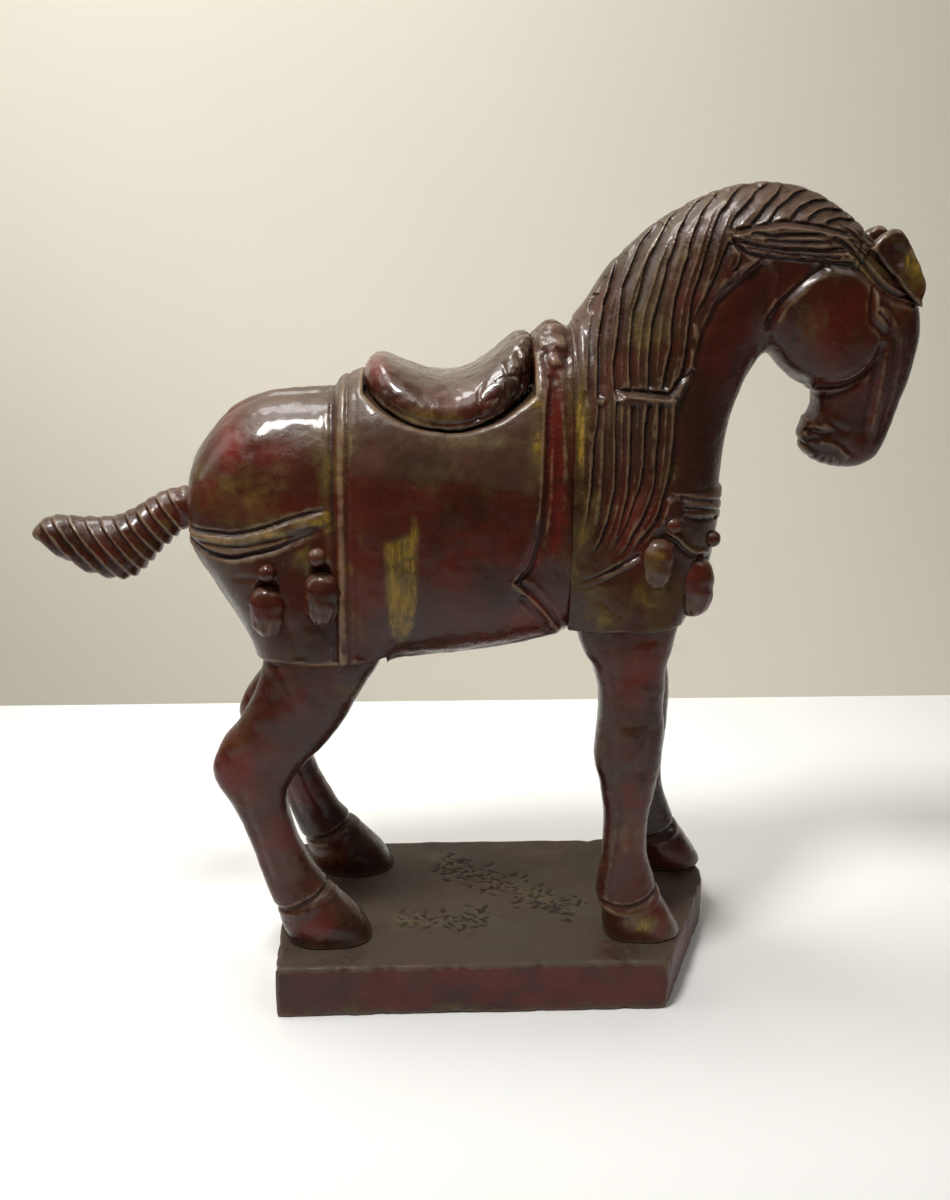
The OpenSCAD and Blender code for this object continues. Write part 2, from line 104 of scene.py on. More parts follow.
# ---------------------------------------------------------------- carved lines, (x, z)
LINES = {
    "Ga": [(41.5, 314), (39, 307), (38, 303.5), (36.5, 300), (36, 295.5), (34.5, 287.5), (34, 280), (33.5, 264)],
    "Ga0": [(33.5, 302.5), (32.5, 300), (31, 295.5)],
    "Gb": [(54.5, 326), (51, 322), (48.5, 317.5), (46.5, 313), (45, 309.5), (43.5, 306), (43, 302), (42.5, 298), (42, 292), (41, 284.5), (40.5, 280.5), (40, 278), (40, 274.5), (40.5, 267.5), (41, 264)],
    "Gc": [(64.5, 333), (61.5, 330.5), (59.5, 327.5), (57, 323.5), (56, 321.5), (53.5, 317.5), (52, 314), (51, 311), (50, 306.5), (49, 302.5), (47.5, 298), (47, 295), (46.5, 288.5), (46, 282), (46, 277), (46.5, 270.5), (47, 267.5)],
    "Gd": [(73, 337.5), (71.5, 336.5), (68, 332.5), (66.5, 330), (64.5, 327), (63.5, 324), (62.5, 321.5), (61.5, 318.5), (60, 315.5), (59.5, 312.5), (58.5, 308.5), (57.5, 305), (56.5, 301), (55.5, 297), (54.5, 293.5), (54, 286.5), (53.5, 280.5), (53.5, 275.5), (53.5, 270.5), (53.5, 267.5)],
    "Ge": [(79, 339.5), (76, 336.5), (73, 333), (72, 330.5), (70, 327), (69, 324), (68, 321.5), (67.5, 317.5), (66, 314), (65, 310), (64, 306), (63, 302), (62.5, 297.5), (62, 293), (62, 288.5), (62, 284.5), (61, 279.5), (60, 275), (59.5, 271), (59, 267.5)],
    "Gf": [(90.5, 343), (88, 342), (84.5, 339), (82.5, 336.5), (80.5, 334.5), (78.5, 331), (77, 328), (76, 324.5), (75, 322), (74, 318.5), (73, 314.5), (72, 310.5), (70.5, 306.5), (69.5, 303), (69, 299.5), (69, 296), (68.5, 291.5), (68, 285), (67, 277), (65.5, 271.5)],
    "Gg": [(98.5, 343.5), (94.5, 341.5), (92, 339), (90, 337), (87.5, 334.5), (85.5, 332.5), (84, 330), (83, 327.5)],
    "Gg2": [(83, 323.5), (81.5, 320.5), (80, 316.5), (79, 313.5), (77.5, 309.5), (76, 306.5), (74.5, 303), (72.5, 299.5), (71, 295.5), (69.5, 291.5)],
    "Gh": [(103.5, 342), (101, 339.5), (98.5, 337.5), (96, 335), (94, 332.5), (92, 330.5), (91, 329)],
    "Gi": [(114, 341.5), (109.5, 340.5), (106, 338), (102.5, 336), (100.5, 334), (99, 331.5), (97.5, 330)],
    "Gj": [(120.5, 338), (116.5, 338), (113, 336.5), (110.5, 335.5), (108.5, 333.5), (106.5, 331)],
    "Gk": [(126.5, 334.5), (123, 335), (119, 334.5), (116, 333), (113.5, 331)],
    "Gl": [(131.5, 331), (127.5, 331.5), (124, 331), (121, 330)],
    "T1": [(84.5, 327.5), (89.5, 328), (92, 328.5), (95, 329), (100, 330), (104, 330.5), (109, 330), (113.5, 329.5), (118.5, 328.5), (124, 327.5), (128, 326.5)],
    "T2": [(90.5, 326), (94, 326.5), (99, 325.5), (105.5, 326), (110.5, 326), (116, 326), (121, 325.5)],
    "T3": [(83.5, 324.5), (87, 323.5), (91, 322.5), (95.5, 321.5), (101, 321), (105.5, 320.5), (111, 320.5), (119, 320), (126, 320.5)],
    "T4": [(84, 323.5), (87, 321), (90, 319.5), (94.5, 318.5), (98.5, 318), (103, 317.5), (108.5, 317), (114, 316.5), (119, 316.5), (124.5, 315.5), (130, 315)],
    "Gm": [(88, 319.5), (87, 315), (84.5, 312)],
    "S1": [(94.5, 317.5), (90, 315), (87.5, 313), (83.5, 309), (79, 305.5), (76, 302), (74.5, 298.5), (72.5, 294), (71, 290), (70, 285), (69, 279)],
    "STEP": [(42, 267), (47.5, 267), (52.5, 266.5), (58.5, 266), (61, 265.5), (63.5, 268), (64.5, 270), (66.5, 272), (69, 273.5), (71.5, 275.5)],
    "L1": [(47, 262.5), (47, 254.5), (47, 248.5), (47, 243.5), (47, 238), (46.5, 234), (46.5, 229), (45.5, 224.5), (44.5, 220), (43.5, 215.5), (42, 211)],
    "L2": [(53.5, 263), (53, 257.5), (52.5, 252.5), (52.5, 246), (52.5, 240.5), (52, 235), (51.5, 231.5), (50, 227), (49, 224), (47.5, 220.5), (46.5, 217), (44.5, 212.5), (42, 208.5), (39.5, 205)],
    "L3": [(58, 263), (58, 256), (58, 250), (57.5, 244.5), (57.5, 239.5), (57.5, 234), (57, 229.5), (55.5, 224.5), (54, 221), (52.5, 217.5), (50.5, 214), (48.5, 211), (46.5, 206.5), (42.5, 202.5)],
    "L4": [(65, 263.5), (65, 254), (65, 248.5), (64.5, 243), (64, 237.5), (63, 232.5), (61, 225.5), (60, 219.5), (58, 216), (55, 212), (51.5, 208.5), (48, 205)],
    "L0": [(34, 262.5), (33.5, 255), (32.5, 250.5), (32, 245.5), (32, 240.5), (31.5, 234.5), (31.5, 230.5), (30.5, 224), (30, 218.5), (28.5, 212)],
    "Lm1": [(28, 268), (27.5, 263), (27, 258.5), (26.5, 253.5), (26, 248.5), (25.5, 243.5), (26.5, 237.5)],
    "M": [(41, 264), (40.5, 258), (40.5, 252), (41, 244), (41, 237.5), (41, 230.5), (39.5, 223.5), (38.5, 218), (37, 214.5), (35.5, 209.5), (33, 206), (30.5, 202)],
    "STRAP": [(52, 203.5), (48, 201), (42.5, 198.5), (35.5, 195.5), (28, 193)],
    "VG": [(22.5, 281.5), (22, 266), (23, 257), (24.5, 245.5), (25, 234), (24.5, 218.5), (24.5, 202), (24.5, 185), (24.5, 175)],
    "CS1": [(68, 224.5), (74.5, 223.5), (81, 222.5), (86.5, 220.5)],
    "CS2": [(68.5, 221), (73, 220.5), (80, 219), (87, 216)],
    "CS3": [(69.5, 217.5), (74, 216), (79.5, 215)],
    "CY": [(61.5, 210), (66.5, 207), (71, 202.5), (75.5, 199.5)],
    "cheek": [(123, 315), (117.5, 312), (112, 307.5), (107.5, 303), (104.5, 299.5), (102, 294.5), (101.5, 289)],
    "cheek2": [(133, 267.5), (138.5, 270), (142.5, 272), (146, 276), (147, 280)],
    "face1": [(141.5, 308), (141, 301.5), (141, 297), (142, 293), (145.5, 290), (148, 287)],
    "face2": [(147.5, 284), (146.5, 278), (146.5, 267.5), (146, 257), (146, 245)],
    "face3": [(152, 288.5), (154, 282), (154, 273.5), (154, 263), (153, 253.5), (152, 244)],
    "eye": [(145, 296.5), (148, 293), (151, 291), (155.5, 289.5)],
    "nostril": [(125.5, 245.5), (127.5, 248), (131, 248), (134.5, 250.5)],
    "mouth": [(122.5, 242.5), (126, 239.5), (130, 237.5), (134.5, 234)],
    "brow": [(162, 301.5), (156, 302), (151, 303), (144.5, 307), (139, 313), (134.5, 317.5), (129, 322), (123.5, 325)],
    "brow2": [(159, 305), (154.5, 307.5), (149.5, 311.5), (144.5, 315.5), (139, 319.5), (133.5, 323), (129.5, 324.5)],
    "crupA": [(-125.5, 212.5), (-117, 212.5), (-109, 212.5), (-98, 215), (-89, 218), (-79.5, 221), (-71.5, 223)],
    "crupB": [(-125.5, 208.5), (-117, 208), (-107, 207.5), (-98.5, 209.5), (-89.5, 211.5), (-79.5, 214.5), (-71.5, 216)],
    "crupC": [(-124.5, 206), (-119.5, 204), (-111.5, 203), (-103.5, 204.5), (-93.5, 207), (-83.5, 211), (-73.5, 215)],
    "buttock": [(-111, 194), (-106, 194.5), (-100.5, 194.5)],
    "blankR1": [(-67, 262.5), (-67, 245.5), (-67, 227), (-67, 203), (-67.5, 178), (-67, 164)],
    "blankR2": [(-61, 269.5), (-61.5, 263.5), (-61.5, 246), (-62, 227), (-62, 203.5), (-62, 182.5), (-62.5, 163.5)],
    "blankR0": [(-64.5, 246), (-65, 203), (-65, 164)],
    "blankF": [(14, 271.5), (12.5, 261), (12, 250), (11.5, 238.5), (11.5, 227), (10, 215), (8, 207), (5, 198.5), (0, 193.5)],
    "blankF2": [(0, 193.5), (4, 190), (7.5, 187), (12, 182), (15.5, 177.5), (21.5, 168)],
    "spine": [(-117.5, 249.5), (-114, 253.5), (-108, 258), (-102, 260), (-96, 261.5), (-84, 263), (-67.5, 265)],
    "jawrim": [(125, 264), (126, 259.5), (126, 255.5), (125, 251.5)],
    "eye2": [(140, 299.5), (140.5, 294.5), (142.5, 292), (146, 289), (149, 285)],
    "eslit": [(143.5, 297.5), (147, 294.5), (150.5, 291.5)],
    "tend_f": [(49, 73), (48, 61.5), (46.5, 49.5), (46.5, 42.5)],
}


# ---------------------------------------------------------------- numbers
def rows_of(st, k):
    st = np.array(st, float)
    n, out = len(st), []
    for i in range(n - 1):
        a, b, c, d = st[max(i - 1, 0)], st[i], st[i + 1], st[min(i + 2, n - 1)]
        for j in range(k):
            t = j / k
            out.append(0.5 * (2 * b + (c - a) * t + (2 * a - 5 * b + 4 * c - d) * t * t + (3 * b - a - 3 * c + d) * t ** 3))
    out.append(st[-1])
    return np.array(out)


def ring(s, m):
    a = 2 * np.pi * (np.arange(m) + 0.5) / m
    c = np.sign(np.cos(a)) * np.abs(np.cos(a)) ** (2 / s[6])
    q = np.sign(np.sin(a)) * np.abs(np.sin(a)) ** (2 / s[6])
    cx, cz, ux, uz = (s[0] + s[2]) / 2, (s[1] + s[3]) / 2, (s[0] - s[2]) / 2, (s[1] - s[3]) / 2
    return np.stack([cx + ux * c, s[7] + s[4] * q * (1 + s[5] * c), cz + uz * c], 1)


def loft(st, k=5, m=120):
    rows = rows_of(st, k)
    n = len(rows)
    pts = np.concatenate([ring(s, m) for s in rows])
    i, j = np.arange(n - 1)[:, None] * m, np.arange(m)[None]
    j2 = (j + 1) % m
    quads = np.stack([i + j, i + m + j, i + m + j2, i + j2], -1).reshape(-1, 4)
    a = np.arange(m)
    b = (a + 1) % m
    tris = np.concatenate([np.stack([a, b, np.full(m, n * m)], 1), np.stack([(n - 1) * m + a, (n - 1) * m + b, np.full(m, n * m + 1)], 1)])
    pts = np.vstack([pts, pts[:m].mean(0), pts[-m:].mean(0)])
    return pts, quads, tris


def leg_rows(st, top, tx, dx, flip):
    out = []
    for r in st:
        t = (top - r[2]) / (top - 25)
        d = tx + (dx - tx) * t
        out.append([r[0] + d, r[2], r[1] + d, r[2], r[3], 0, 2.4, 2 * MID - r[4] if flip else r[4]])
    return out


def smin(a, b, k):
    h = np.clip(0.5 + 0.5 * (b - a) / k, 0, 1)
    return b * (1 - h) + a * h - k * h * (1 - h)


def smax(a, b, k):
    return -smin(-a, -b, k)


def step(a, b, x):
    t = np.clip((x - a) / (b - a), 0, 1)
    return t * t * (3 - 2 * t)


def curve(pts, gap=1.3):
    """A smooth line through given points, resampled."""
    p = np.array(pts, float)
    if len(p) < 3:
        n = max(2, int(np.linalg.norm(p[-1] - p[0]) / gap))
        return p[0] + (p[-1] - p[0]) * np.linspace(0, 1, n)[:, None]
    out = []
    for i in range(len(p) - 1):
        a, b, c, d = p[max(i - 1, 0)], p[i], p[i + 1], p[min(i + 2, len(p) - 1)]
        n = max(1, int(np.linalg.norm(c - b) / gap))
        t = (np.arange(n) / n)[:, None]
        out.append(0.5 * (2 * b + (c - a) * t + (2 * a - 5 * b + 4 * c - d) * t * t + (3 * b - a - 3 * c + d) * t ** 3))
    return np.vstack(out + [p[-1:]])


def beyond(pts, at_start=0.0, at_end=0.0):
    """The same line, run on by so many millimetres."""
    p = [np.array(q, float) for q in pts]
    if at_start:
        v = p[0] - p[1]
        p = [p[0] + v / (np.linalg.norm(v) + 1e-9) * at_start] + p
    if at_end:
        v = p[-1] - p[-2]
        p = p + [p[-1] + v / (np.linalg.norm(v) + 1e-9) * at_end]
    return p


class Block:
    """A box of space cut in voxels, with the side view (x, z) of each voxel for carving."""

    def __init__(self, lo, hi, v):
        self.v = v * COARSE
        self.lo = np.floor(np.array(lo) / self.v).astype(int)
        self.n = np.ceil(np.array(hi) / self.v).astype(int) - self.lo + 1
        self.x, self.y, self.z = [((self.lo[i] + np.arange(self.n[i])) * self.v).astype(np.float32) for i in range(3)]
        self.X, self.Z = np.meshgrid(self.x, self.z, indexing="ij")
        self.deep = np.zeros(self.X.shape, np.float32)    # how far a place is cut in
        self.high = np.zeros(self.X.shape, np.float32)    # how far it stands out
        self.maps = {k: np.zeros(self.X.shape, np.float32) for k in ("gold", "red", "dust_and_sheen")}

    def field(self, pts, quads, tris, band=12):
        g = openvdb.FloatGrid.createLevelSetFromPolygons(
            pts.astype(np.float32), triangles=tris.astype(np.uint32), quads=quads.astype(np.uint32),
            transform=openvdb.createLinearTransform(voxelSize=self.v), halfWidth=band)
        a = np.full(tuple(self.n), band * self.v, np.float32)
        g.copyToArray(a, ijk=tuple(int(i) for i in self.lo))
        return a

    def loft(self, st, k=5, m=120, band=12):
        return self.field(*loft(st, k, m), band=band)

    def near(self, pts, reach):
        """Distance from the line, place along it and side of it, for every place in the side view within reach."""
        p = curve(pts)
        inside = ((self.X > p[:, 0].min() - reach) & (self.X < p[:, 0].max() + reach)
                  & (self.Z > p[:, 1].min() - reach) & (self.Z < p[:, 1].max() + reach))
        idx = np.nonzero(inside)
        q = np.stack([self.X[idx], self.Z[idx]], 1).astype(np.float64)
        best = np.full(len(q), 1e9)
        along = np.zeros(len(q))
        side = np.zeros(len(q))
        length = np.concatenate([[0], np.cumsum(np.linalg.norm(np.diff(p, axis=0), axis=1))])
        for i in range(len(p) - 1):
            a, b = p[i], p[i + 1]
            v = b - a
            ll = v @ v + 1e-12
            t = np.clip(((q - a) @ v) / ll, 0, 1)
            w = q - a - t[:, None] * v
            d = np.hypot(w[:, 0], w[:, 1])
            m = d < best
            best = np.where(m, d, best)
            along = np.where(m, length[i] + t * math.sqrt(ll), along)
            side = np.where(m, np.sign(v[0] * (q[:, 1] - a[1]) - v[1] * (q[:, 0] - a[0])), side)
        return idx, best, along, length[-1], side

    def lock(self, pts, depth, ramp, steep=1.1, ends=(3, 3)):
        """A lock of hair's edge: a steep wall on one side of the line and a long ramp on the other."""
        idx, d, t, total, side = self.near(pts, ramp)
        k = np.clip(t / max(ends[0], 0.01), 0, 1) * np.clip((total - t) / max(ends[1], 0.01), 0, 1)
        w = np.where(side > 0, np.clip(1 - d / ramp, 0, 1) ** 1.25, np.clip(1 - d / steep, 0, 1) ** 0.9)
        self.deep[idx] = np.maximum(self.deep[idx], depth * k ** 0.6 * w)

    def cut(self, pts, depth, width, power=1.6, ends=(3, 3)):
        idx, d, t, total, _ = self.near(pts, width)
        k = np.clip(t / max(ends[0], 0.01), 0, 1) * np.clip((total - t) / max(ends[1], 0.01), 0, 1)
        self.deep[idx] = np.maximum(self.deep[idx], depth * k ** 0.6 * np.clip(1 - d / width, 0, 1) ** power)

    def rib(self, pts, height, width, ends=(3, 3)):
        idx, d, t, total, _ = self.near(pts, width * 2)
        k = np.clip(t / max(ends[0], 0.01), 0, 1) * np.clip((total - t) / max(ends[1], 0.01), 0, 1)
        self.high[idx] = np.maximum(self.high[idx], height * k ** 0.7 * np.exp(-(d / width) ** 2))

    def inside(self, poly, soft=1.0):
        """1 inside the outline, 0 outside, with an edge that is soft millimetres wide."""
        p = np.array(poly, float)
        c = np.zeros(self.X.shape, bool)
        d = np.full(self.X.shape, 1e9, np.float32)
        for i in range(len(p)):
            a, b = p[i], p[(i + 1) % len(p)]
            if a[1] != b[1]:
                hit = ((a[1] > self.Z) != (b[1] > self.Z)) & (self.X < (b[0] - a[0]) * (self.Z - a[1]) / (b[1] - a[1]) + a[0])
                c ^= hit
            v = b - a
            t = np.clip(((self.X - a[0]) * v[0] + (self.Z - a[1]) * v[1]) / (v @ v + 1e-12), 0, 1)
            d = np.minimum(d, np.hypot(self.X - a[0] - t * v[0], self.Z - a[1] - t * v[1]))
        s = np.where(c, d, -d)
        return step(-soft / 2, soft / 2, s).astype(np.float32)

    def blob(self, name, x, z, rx, rz, amount):
        self.maps[name] = np.maximum(self.maps[name], (amount * np.exp(-((self.X - x) / rx) ** 2 - ((self.Z - z) / rz) ** 2)).astype(np.float32))

    def noise(self, size, seed):
        """Smooth random field between about -1 and 1 with lumps of that size."""
        rng = np.random.default_rng(seed)
        mats = []
        for axis in (self.x, self.y, self.z):
            u = (axis - axis[0]) / size
            i = np.floor(u).astype(int)
            f = u - i
            f = f * f * (3 - 2 * f)
            m = np.zeros((len(axis), i.max() + 2), np.float32)
            m[np.arange(len(axis)), i] = 1 - f
            m[np.arange(len(axis)), i + 1] = f
            mats.append(m)
        lat = rng.uniform(-1, 1, [m.shape[1] for m in mats]).astype(np.float32)
        a = np.tensordot(mats[0], lat, (1, 0))
        a = np.tensordot(a, mats[1], (1, 1))          # x, z, y
        a = np.tensordot(a, mats[2], (1, 1))          # x, y, z
        return a

    def ball(self, x, y, z, r, sy=1.0):
        return (np.sqrt(((self.x - x) ** 2)[:, None, None] + (((self.y - y) / sy) ** 2)[None, :, None] + ((self.z - z) ** 2)[None, None, :]) - r).astype(np.float32)

    def relief(self):
        return (self.deep - self.high)[:, None, :]

    def sample(self, grid2, x, z):
        u = np.clip((x - self.x[0]) / self.v, 0, self.n[0] - 1.001)
        w = np.clip((z - self.z[0]) / self.v, 0, self.n[2] - 1.001)
        i, j = u.astype(int), w.astype(int)
        fu, fw = u - i, w - j
        return (grid2[i, j] * (1 - fu) * (1 - fw) + grid2[i + 1, j] * fu * (1 - fw) + grid2[i, j + 1] * (1 - fu) * fw + grid2[i + 1, j + 1] * fu * fw)

    def sample2(self, grid2, x, y):
        u = np.clip((x - self.x[0]) / self.v, 0, self.n[0] - 1.001)
        w = np.clip((y - self.y[0]) / self.v, 0, self.n[1] - 1.001)
        i, j = u.astype(int), w.astype(int)
        fu, fw = u - i, w - j
        return (grid2[i, j] * (1 - fu) * (1 - fw) + grid2[i + 1, j] * fu * (1 - fw) + grid2[i, j + 1] * (1 - fu) * fw + grid2[i + 1, j + 1] * fu * fw)

    def mesh(self, f):
        """Closed mesh of the zero surface of the field."""
        f = np.clip(f, -3 * self.v, 3 * self.v)
        far = np.float32(3 * self.v)
        for s in (0, -1):
            f[s], f[:, s], f[:, :, s] = far, far, far
        g = openvdb.FloatGrid(float(far))
        g.copyFromArray(np.ascontiguousarray(f), ijk=tuple(int(i) for i in self.lo))
        g.transform = openvdb.createLinearTransform(voxelSize=self.v)
        pts, a, b = g.convertToPolygons(0.0, 0.0)
        quads, tris = (a, b) if a.shape[1] == 4 else (b, a)
        return pts.astype(np.float64), quads.astype(np.int64), tris.astype(np.int64)


# ---------------------------------------------------------------- meshes
def edges_of(quads, tris):
    e = [quads[:, [0, 1]], quads[:, [1, 2]], quads[:, [2, 3]], quads[:, [3, 0]]]
    if len(tris):
        e += [tris[:, [0, 1]], tris[:, [1, 2]], tris[:, [2, 0]]]
    e = np.sort(np.concatenate(e), 1)
    key = np.unique(e[:, 0] * np.int64(1 << 31) + e[:, 1])
    return key >> 31, key & ((1 << 31) - 1)


def smoothed(p, e, rounds, k=0.5, back=0.0):
    a, b = e
    n = len(p)
    count = np.maximum(np.bincount(a, minlength=n) + np.bincount(b, minlength=n), 1)
    p = p.copy()
    for r in range(rounds):
        w = k if (r % 2 == 0 or not back) else back
        for c in range(3):
            s = np.bincount(a, p[b, c], n) + np.bincount(b, p[a, c], n)
            p[:, c] += w * (s / count - p[:, c])
    return p


def spread(v, e, rounds):
    a, b = e
    n = len(v)
    count = np.maximum(np.bincount(a, minlength=n) + np.bincount(b, minlength=n), 1)
    for _ in range(rounds):
        v = 0.5 * v + 0.5 * (np.bincount(a, v[b], n) + np.bincount(b, v[a], n)) / count
    return v


def to_object(name, pts, quads, tris, attrs=None, sharp=None):
    me = bpy.data.meshes.new(name)
    quads, tris = np.asarray(quads, np.int64).reshape(-1, 4), np.asarray(tris, np.int64).reshape(-1, 3)
    me.vertices.add(len(pts))
    me.vertices.foreach_set("co", (np.asarray(pts) * MM).astype(np.float32).ravel())
    loops = np.concatenate([quads.ravel(), tris.ravel()]).astype(np.int32)
    me.loops.add(len(loops))
    me.loops.foreach_set("vertex_index", loops)
    sizes = np.concatenate([np.full(len(quads), 4), np.full(len(tris), 3)]).astype(np.int32)
    me.polygons.add(len(sizes))
    me.polygons.foreach_set("loop_start", (np.cumsum(sizes) - sizes).astype(np.int32))
    me.polygons.foreach_set("loop_total", sizes)
    me.update(calc_edges=True)
    me.validate()
    for key, val in (attrs or {}).items():
        at = me.attributes.new(key, "FLOAT", "POINT")
        at.data.foreach_set("value", np.asarray(val, np.float32))
    me.polygons.foreach_set("use_smooth", np.ones(len(me.polygons), bool))
    if sharp:
        me.set_sharp_from_angle(angle=math.radians(sharp))
    ob = bpy.data.objects.new(name, me)
    bpy.context.scene.collection.objects.link(ob)
    return ob


def facing(pts, quads, tris):
    """The same faces, turned so that they look outwards."""
    t = np.concatenate([quads[:, [0, 1, 2]], quads[:, [0, 2, 3]], tris])
    v = np.einsum("ij,ij->i", pts[t[:, 0]], np.cross(pts[t[:, 1]], pts[t[:, 2]])).sum()
    return (quads[:, ::-1], tris[:, ::-1]) if v < 0 else (quads, tris)


def normals(pts, quads, tris):
    n = np.zeros_like(pts)
    for f, order in ((quads, (0, 1, 2, 3)), (tris, (0, 1, 2))):
        if not len(f):
            continue
        d1, d2 = (pts[f[:, 2]] - pts[f[:, 0]], pts[f[:, 3]] - pts[f[:, 1]]) if len(order) == 4 else (pts[f[:, 1]] - pts[f[:, 0]], pts[f[:, 2]] - pts[f[:, 0]])
        c = np.cross(d1, d2)
        for o in order:
            for k in range(3):
                n[:, k] += np.bincount(f[:, o], c[:, k], len(pts))
    return n / (np.linalg.norm(n, axis=1)[:, None] + 1e-12)


def build(name, blk, f, sharp=None, polish=4, calm=()):
    """Mesh of a carved field, with how hollow each spot is (for grime and painted shade) and how proud (for edge wear
    and painted highlight), and its paint maps.
    """
    pts, quads, tris = blk.mesh(f)
    quads, tris = facing(pts, quads, tris)
    e = edges_of(quads, tris)
    pts = smoothed(pts, e, polish, 0.5, -0.52)
    nrm = normals(pts, quads, tris)
    r1 = max(3, int(round(6 / blk.v)))
    near = np.einsum("ij,ij->i", nrm, pts - smoothed(pts, e, r1))
    wide = np.einsum("ij,ij->i", nrm, pts - smoothed(pts, e, r1 * 5))
    near = spread(near, e, 1)
    for axis, at, width in calm:      # a glue seam gets neither the lightened edge nor the darkened cut: no wear or painted highlight, no grime or painted shade
        k = np.clip(np.abs(pts[:, axis] - at) / width, 0, 1) ** 2
        near, wide = near * k, wide * k
    # how hollow a spot is becomes grime and painted shade, how proud it is becomes edge wear and a painted highlight
    attrs = {
        "grime_and_shade": np.clip(-near / 0.16, 0, 1) * 0.65 + np.clip(-wide / 0.7, 0, 1) * 0.6,
        "worn_edge_and_highlight": np.clip(near / 0.16, 0, 1) * 0.8 + np.clip(wide / 0.9, 0, 1) * 0.3}
    for k, m in blk.maps.items():
        attrs[k] = blk.sample(m, pts[:, 0], pts[:, 2])
    return to_object(name, pts, quads, tris, attrs, sharp)


def both(points):
    return [p for x, y, z, r in points for p in ((x, y, z, r), (x, 2 * MID - y, z, r))]


def place(ob, node, body, slot):
    ob.data.materials.clear()
    ob.data.materials.append(FINISH[slot])
    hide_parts(node)
    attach(ob, body)


# ---------------------------------------------------------------- finishes
def lin(r, g, b):
    f = lambda c: (c / 255 / 12.92) if c / 255 <= 0.04045 else ((c / 255 + 0.055) / 1.055) ** 2.4
    return (f(r), f(g), f(b), 1.0)


class Nodes:
    def __init__(self, name):
        self.mat = bpy.data.materials.new(name)
        self.mat.use_nodes = True
        self.t = self.mat.node_tree
        self.t.nodes.clear()
        self.out = self.new("ShaderNodeOutputMaterial")
        self.tex = self.new("ShaderNodeTexCoord")

    def new(self, kind, **props):
        n = self.t.nodes.new(kind)
        for k, v in props.items():
            setattr(n, k, v)
        return n

    def link(self, a, b):
        self.t.links.new(a, b)

    def noise(self, scale, detail=4.0, rough=0.55, stretch=None, at=(0, 0, 0), warp=0.0):
        src = self.tex.outputs["Object"]
        if stretch or at != (0, 0, 0):
            m = self.new("ShaderNodeMapping")
            m.inputs["Scale"].default_value = stretch or (1, 1, 1)
            m.inputs["Location"].default_value = at
            self.link(src, m.inputs["Vector"])
            src = m.outputs[0]
        n = self.new("ShaderNodeTexNoise")
        n.inputs["Scale"].default_value = scale
        n.inputs["Detail"].default_value = detail
        n.inputs["Roughness"].default_value = rough
        n.inputs["Distortion"].default_value = warp
        self.link(src, n.inputs["Vector"])
        return n.outputs["Fac"]

    def attr(self, name):
        return self.new("ShaderNodeAttribute", attribute_name=name).outputs["Fac"]

    def math(self, op, a, b=None, c=None, clamp=False):
        n = self.new("ShaderNodeMath", operation=op, use_clamp=clamp)
        for i, v in enumerate((a, b, c)):
            if v is None:
                continue
            if isinstance(v, (int, float)):
                n.inputs[i].default_value = v
            else:
                self.link(v, n.inputs[i])
        return n.outputs[0]

    def ramp(self, fac, lo, hi, a=0.0, b=1.0):
        n = self.new("ShaderNodeMapRange", interpolation_type="SMOOTHSTEP")
        self.link(fac, n.inputs[0])
        for i, v in enumerate((lo, hi, a, b)):
            n.inputs[i + 1].default_value = v
        return n.outputs[0]

    def mix(self, fac, a, b, blend="MIX"):
        n = self.new("ShaderNodeMix", data_type="RGBA", blend_type=blend)
        for i, v in ((0, fac), (6, a), (7, b)):
            if isinstance(v, (int, float)):
                n.inputs[i].default_value = v
            elif isinstance(v, tuple):
                n.inputs[i].default_value = v
            else:
                self.link(v, n.inputs[i])
        return n.outputs[2]

    def bump(self, height, strength, dist, before=None):
        n = self.new("ShaderNodeBump")
        n.inputs["Strength"].default_value = strength
        n.inputs["Distance"].default_value = dist
        self.link(height, n.inputs["Height"])
        if before is not None:
            self.link(before, n.inputs["Normal"])
        return n.outputs[0]

    def shader(self, colour, rough, normal, coat=0.0, coat_rough=0.1, ior=1.5, spec=0.5):
        p = self.new("ShaderNodeBsdfPrincipled")
        self.link(colour, p.inputs["Base Color"])
        self.link(rough, p.inputs["Roughness"])
        self.link(normal, p.inputs["Normal"])
        p.inputs["IOR"].default_value = ior
        p.inputs["Specular IOR Level"].default_value = spec
        p.inputs["Coat Weight"].default_value = coat
        p.inputs["Coat Roughness"].default_value = coat_rough
        self.link(p.outputs[0], self.out.inputs[0])
        return self.mat


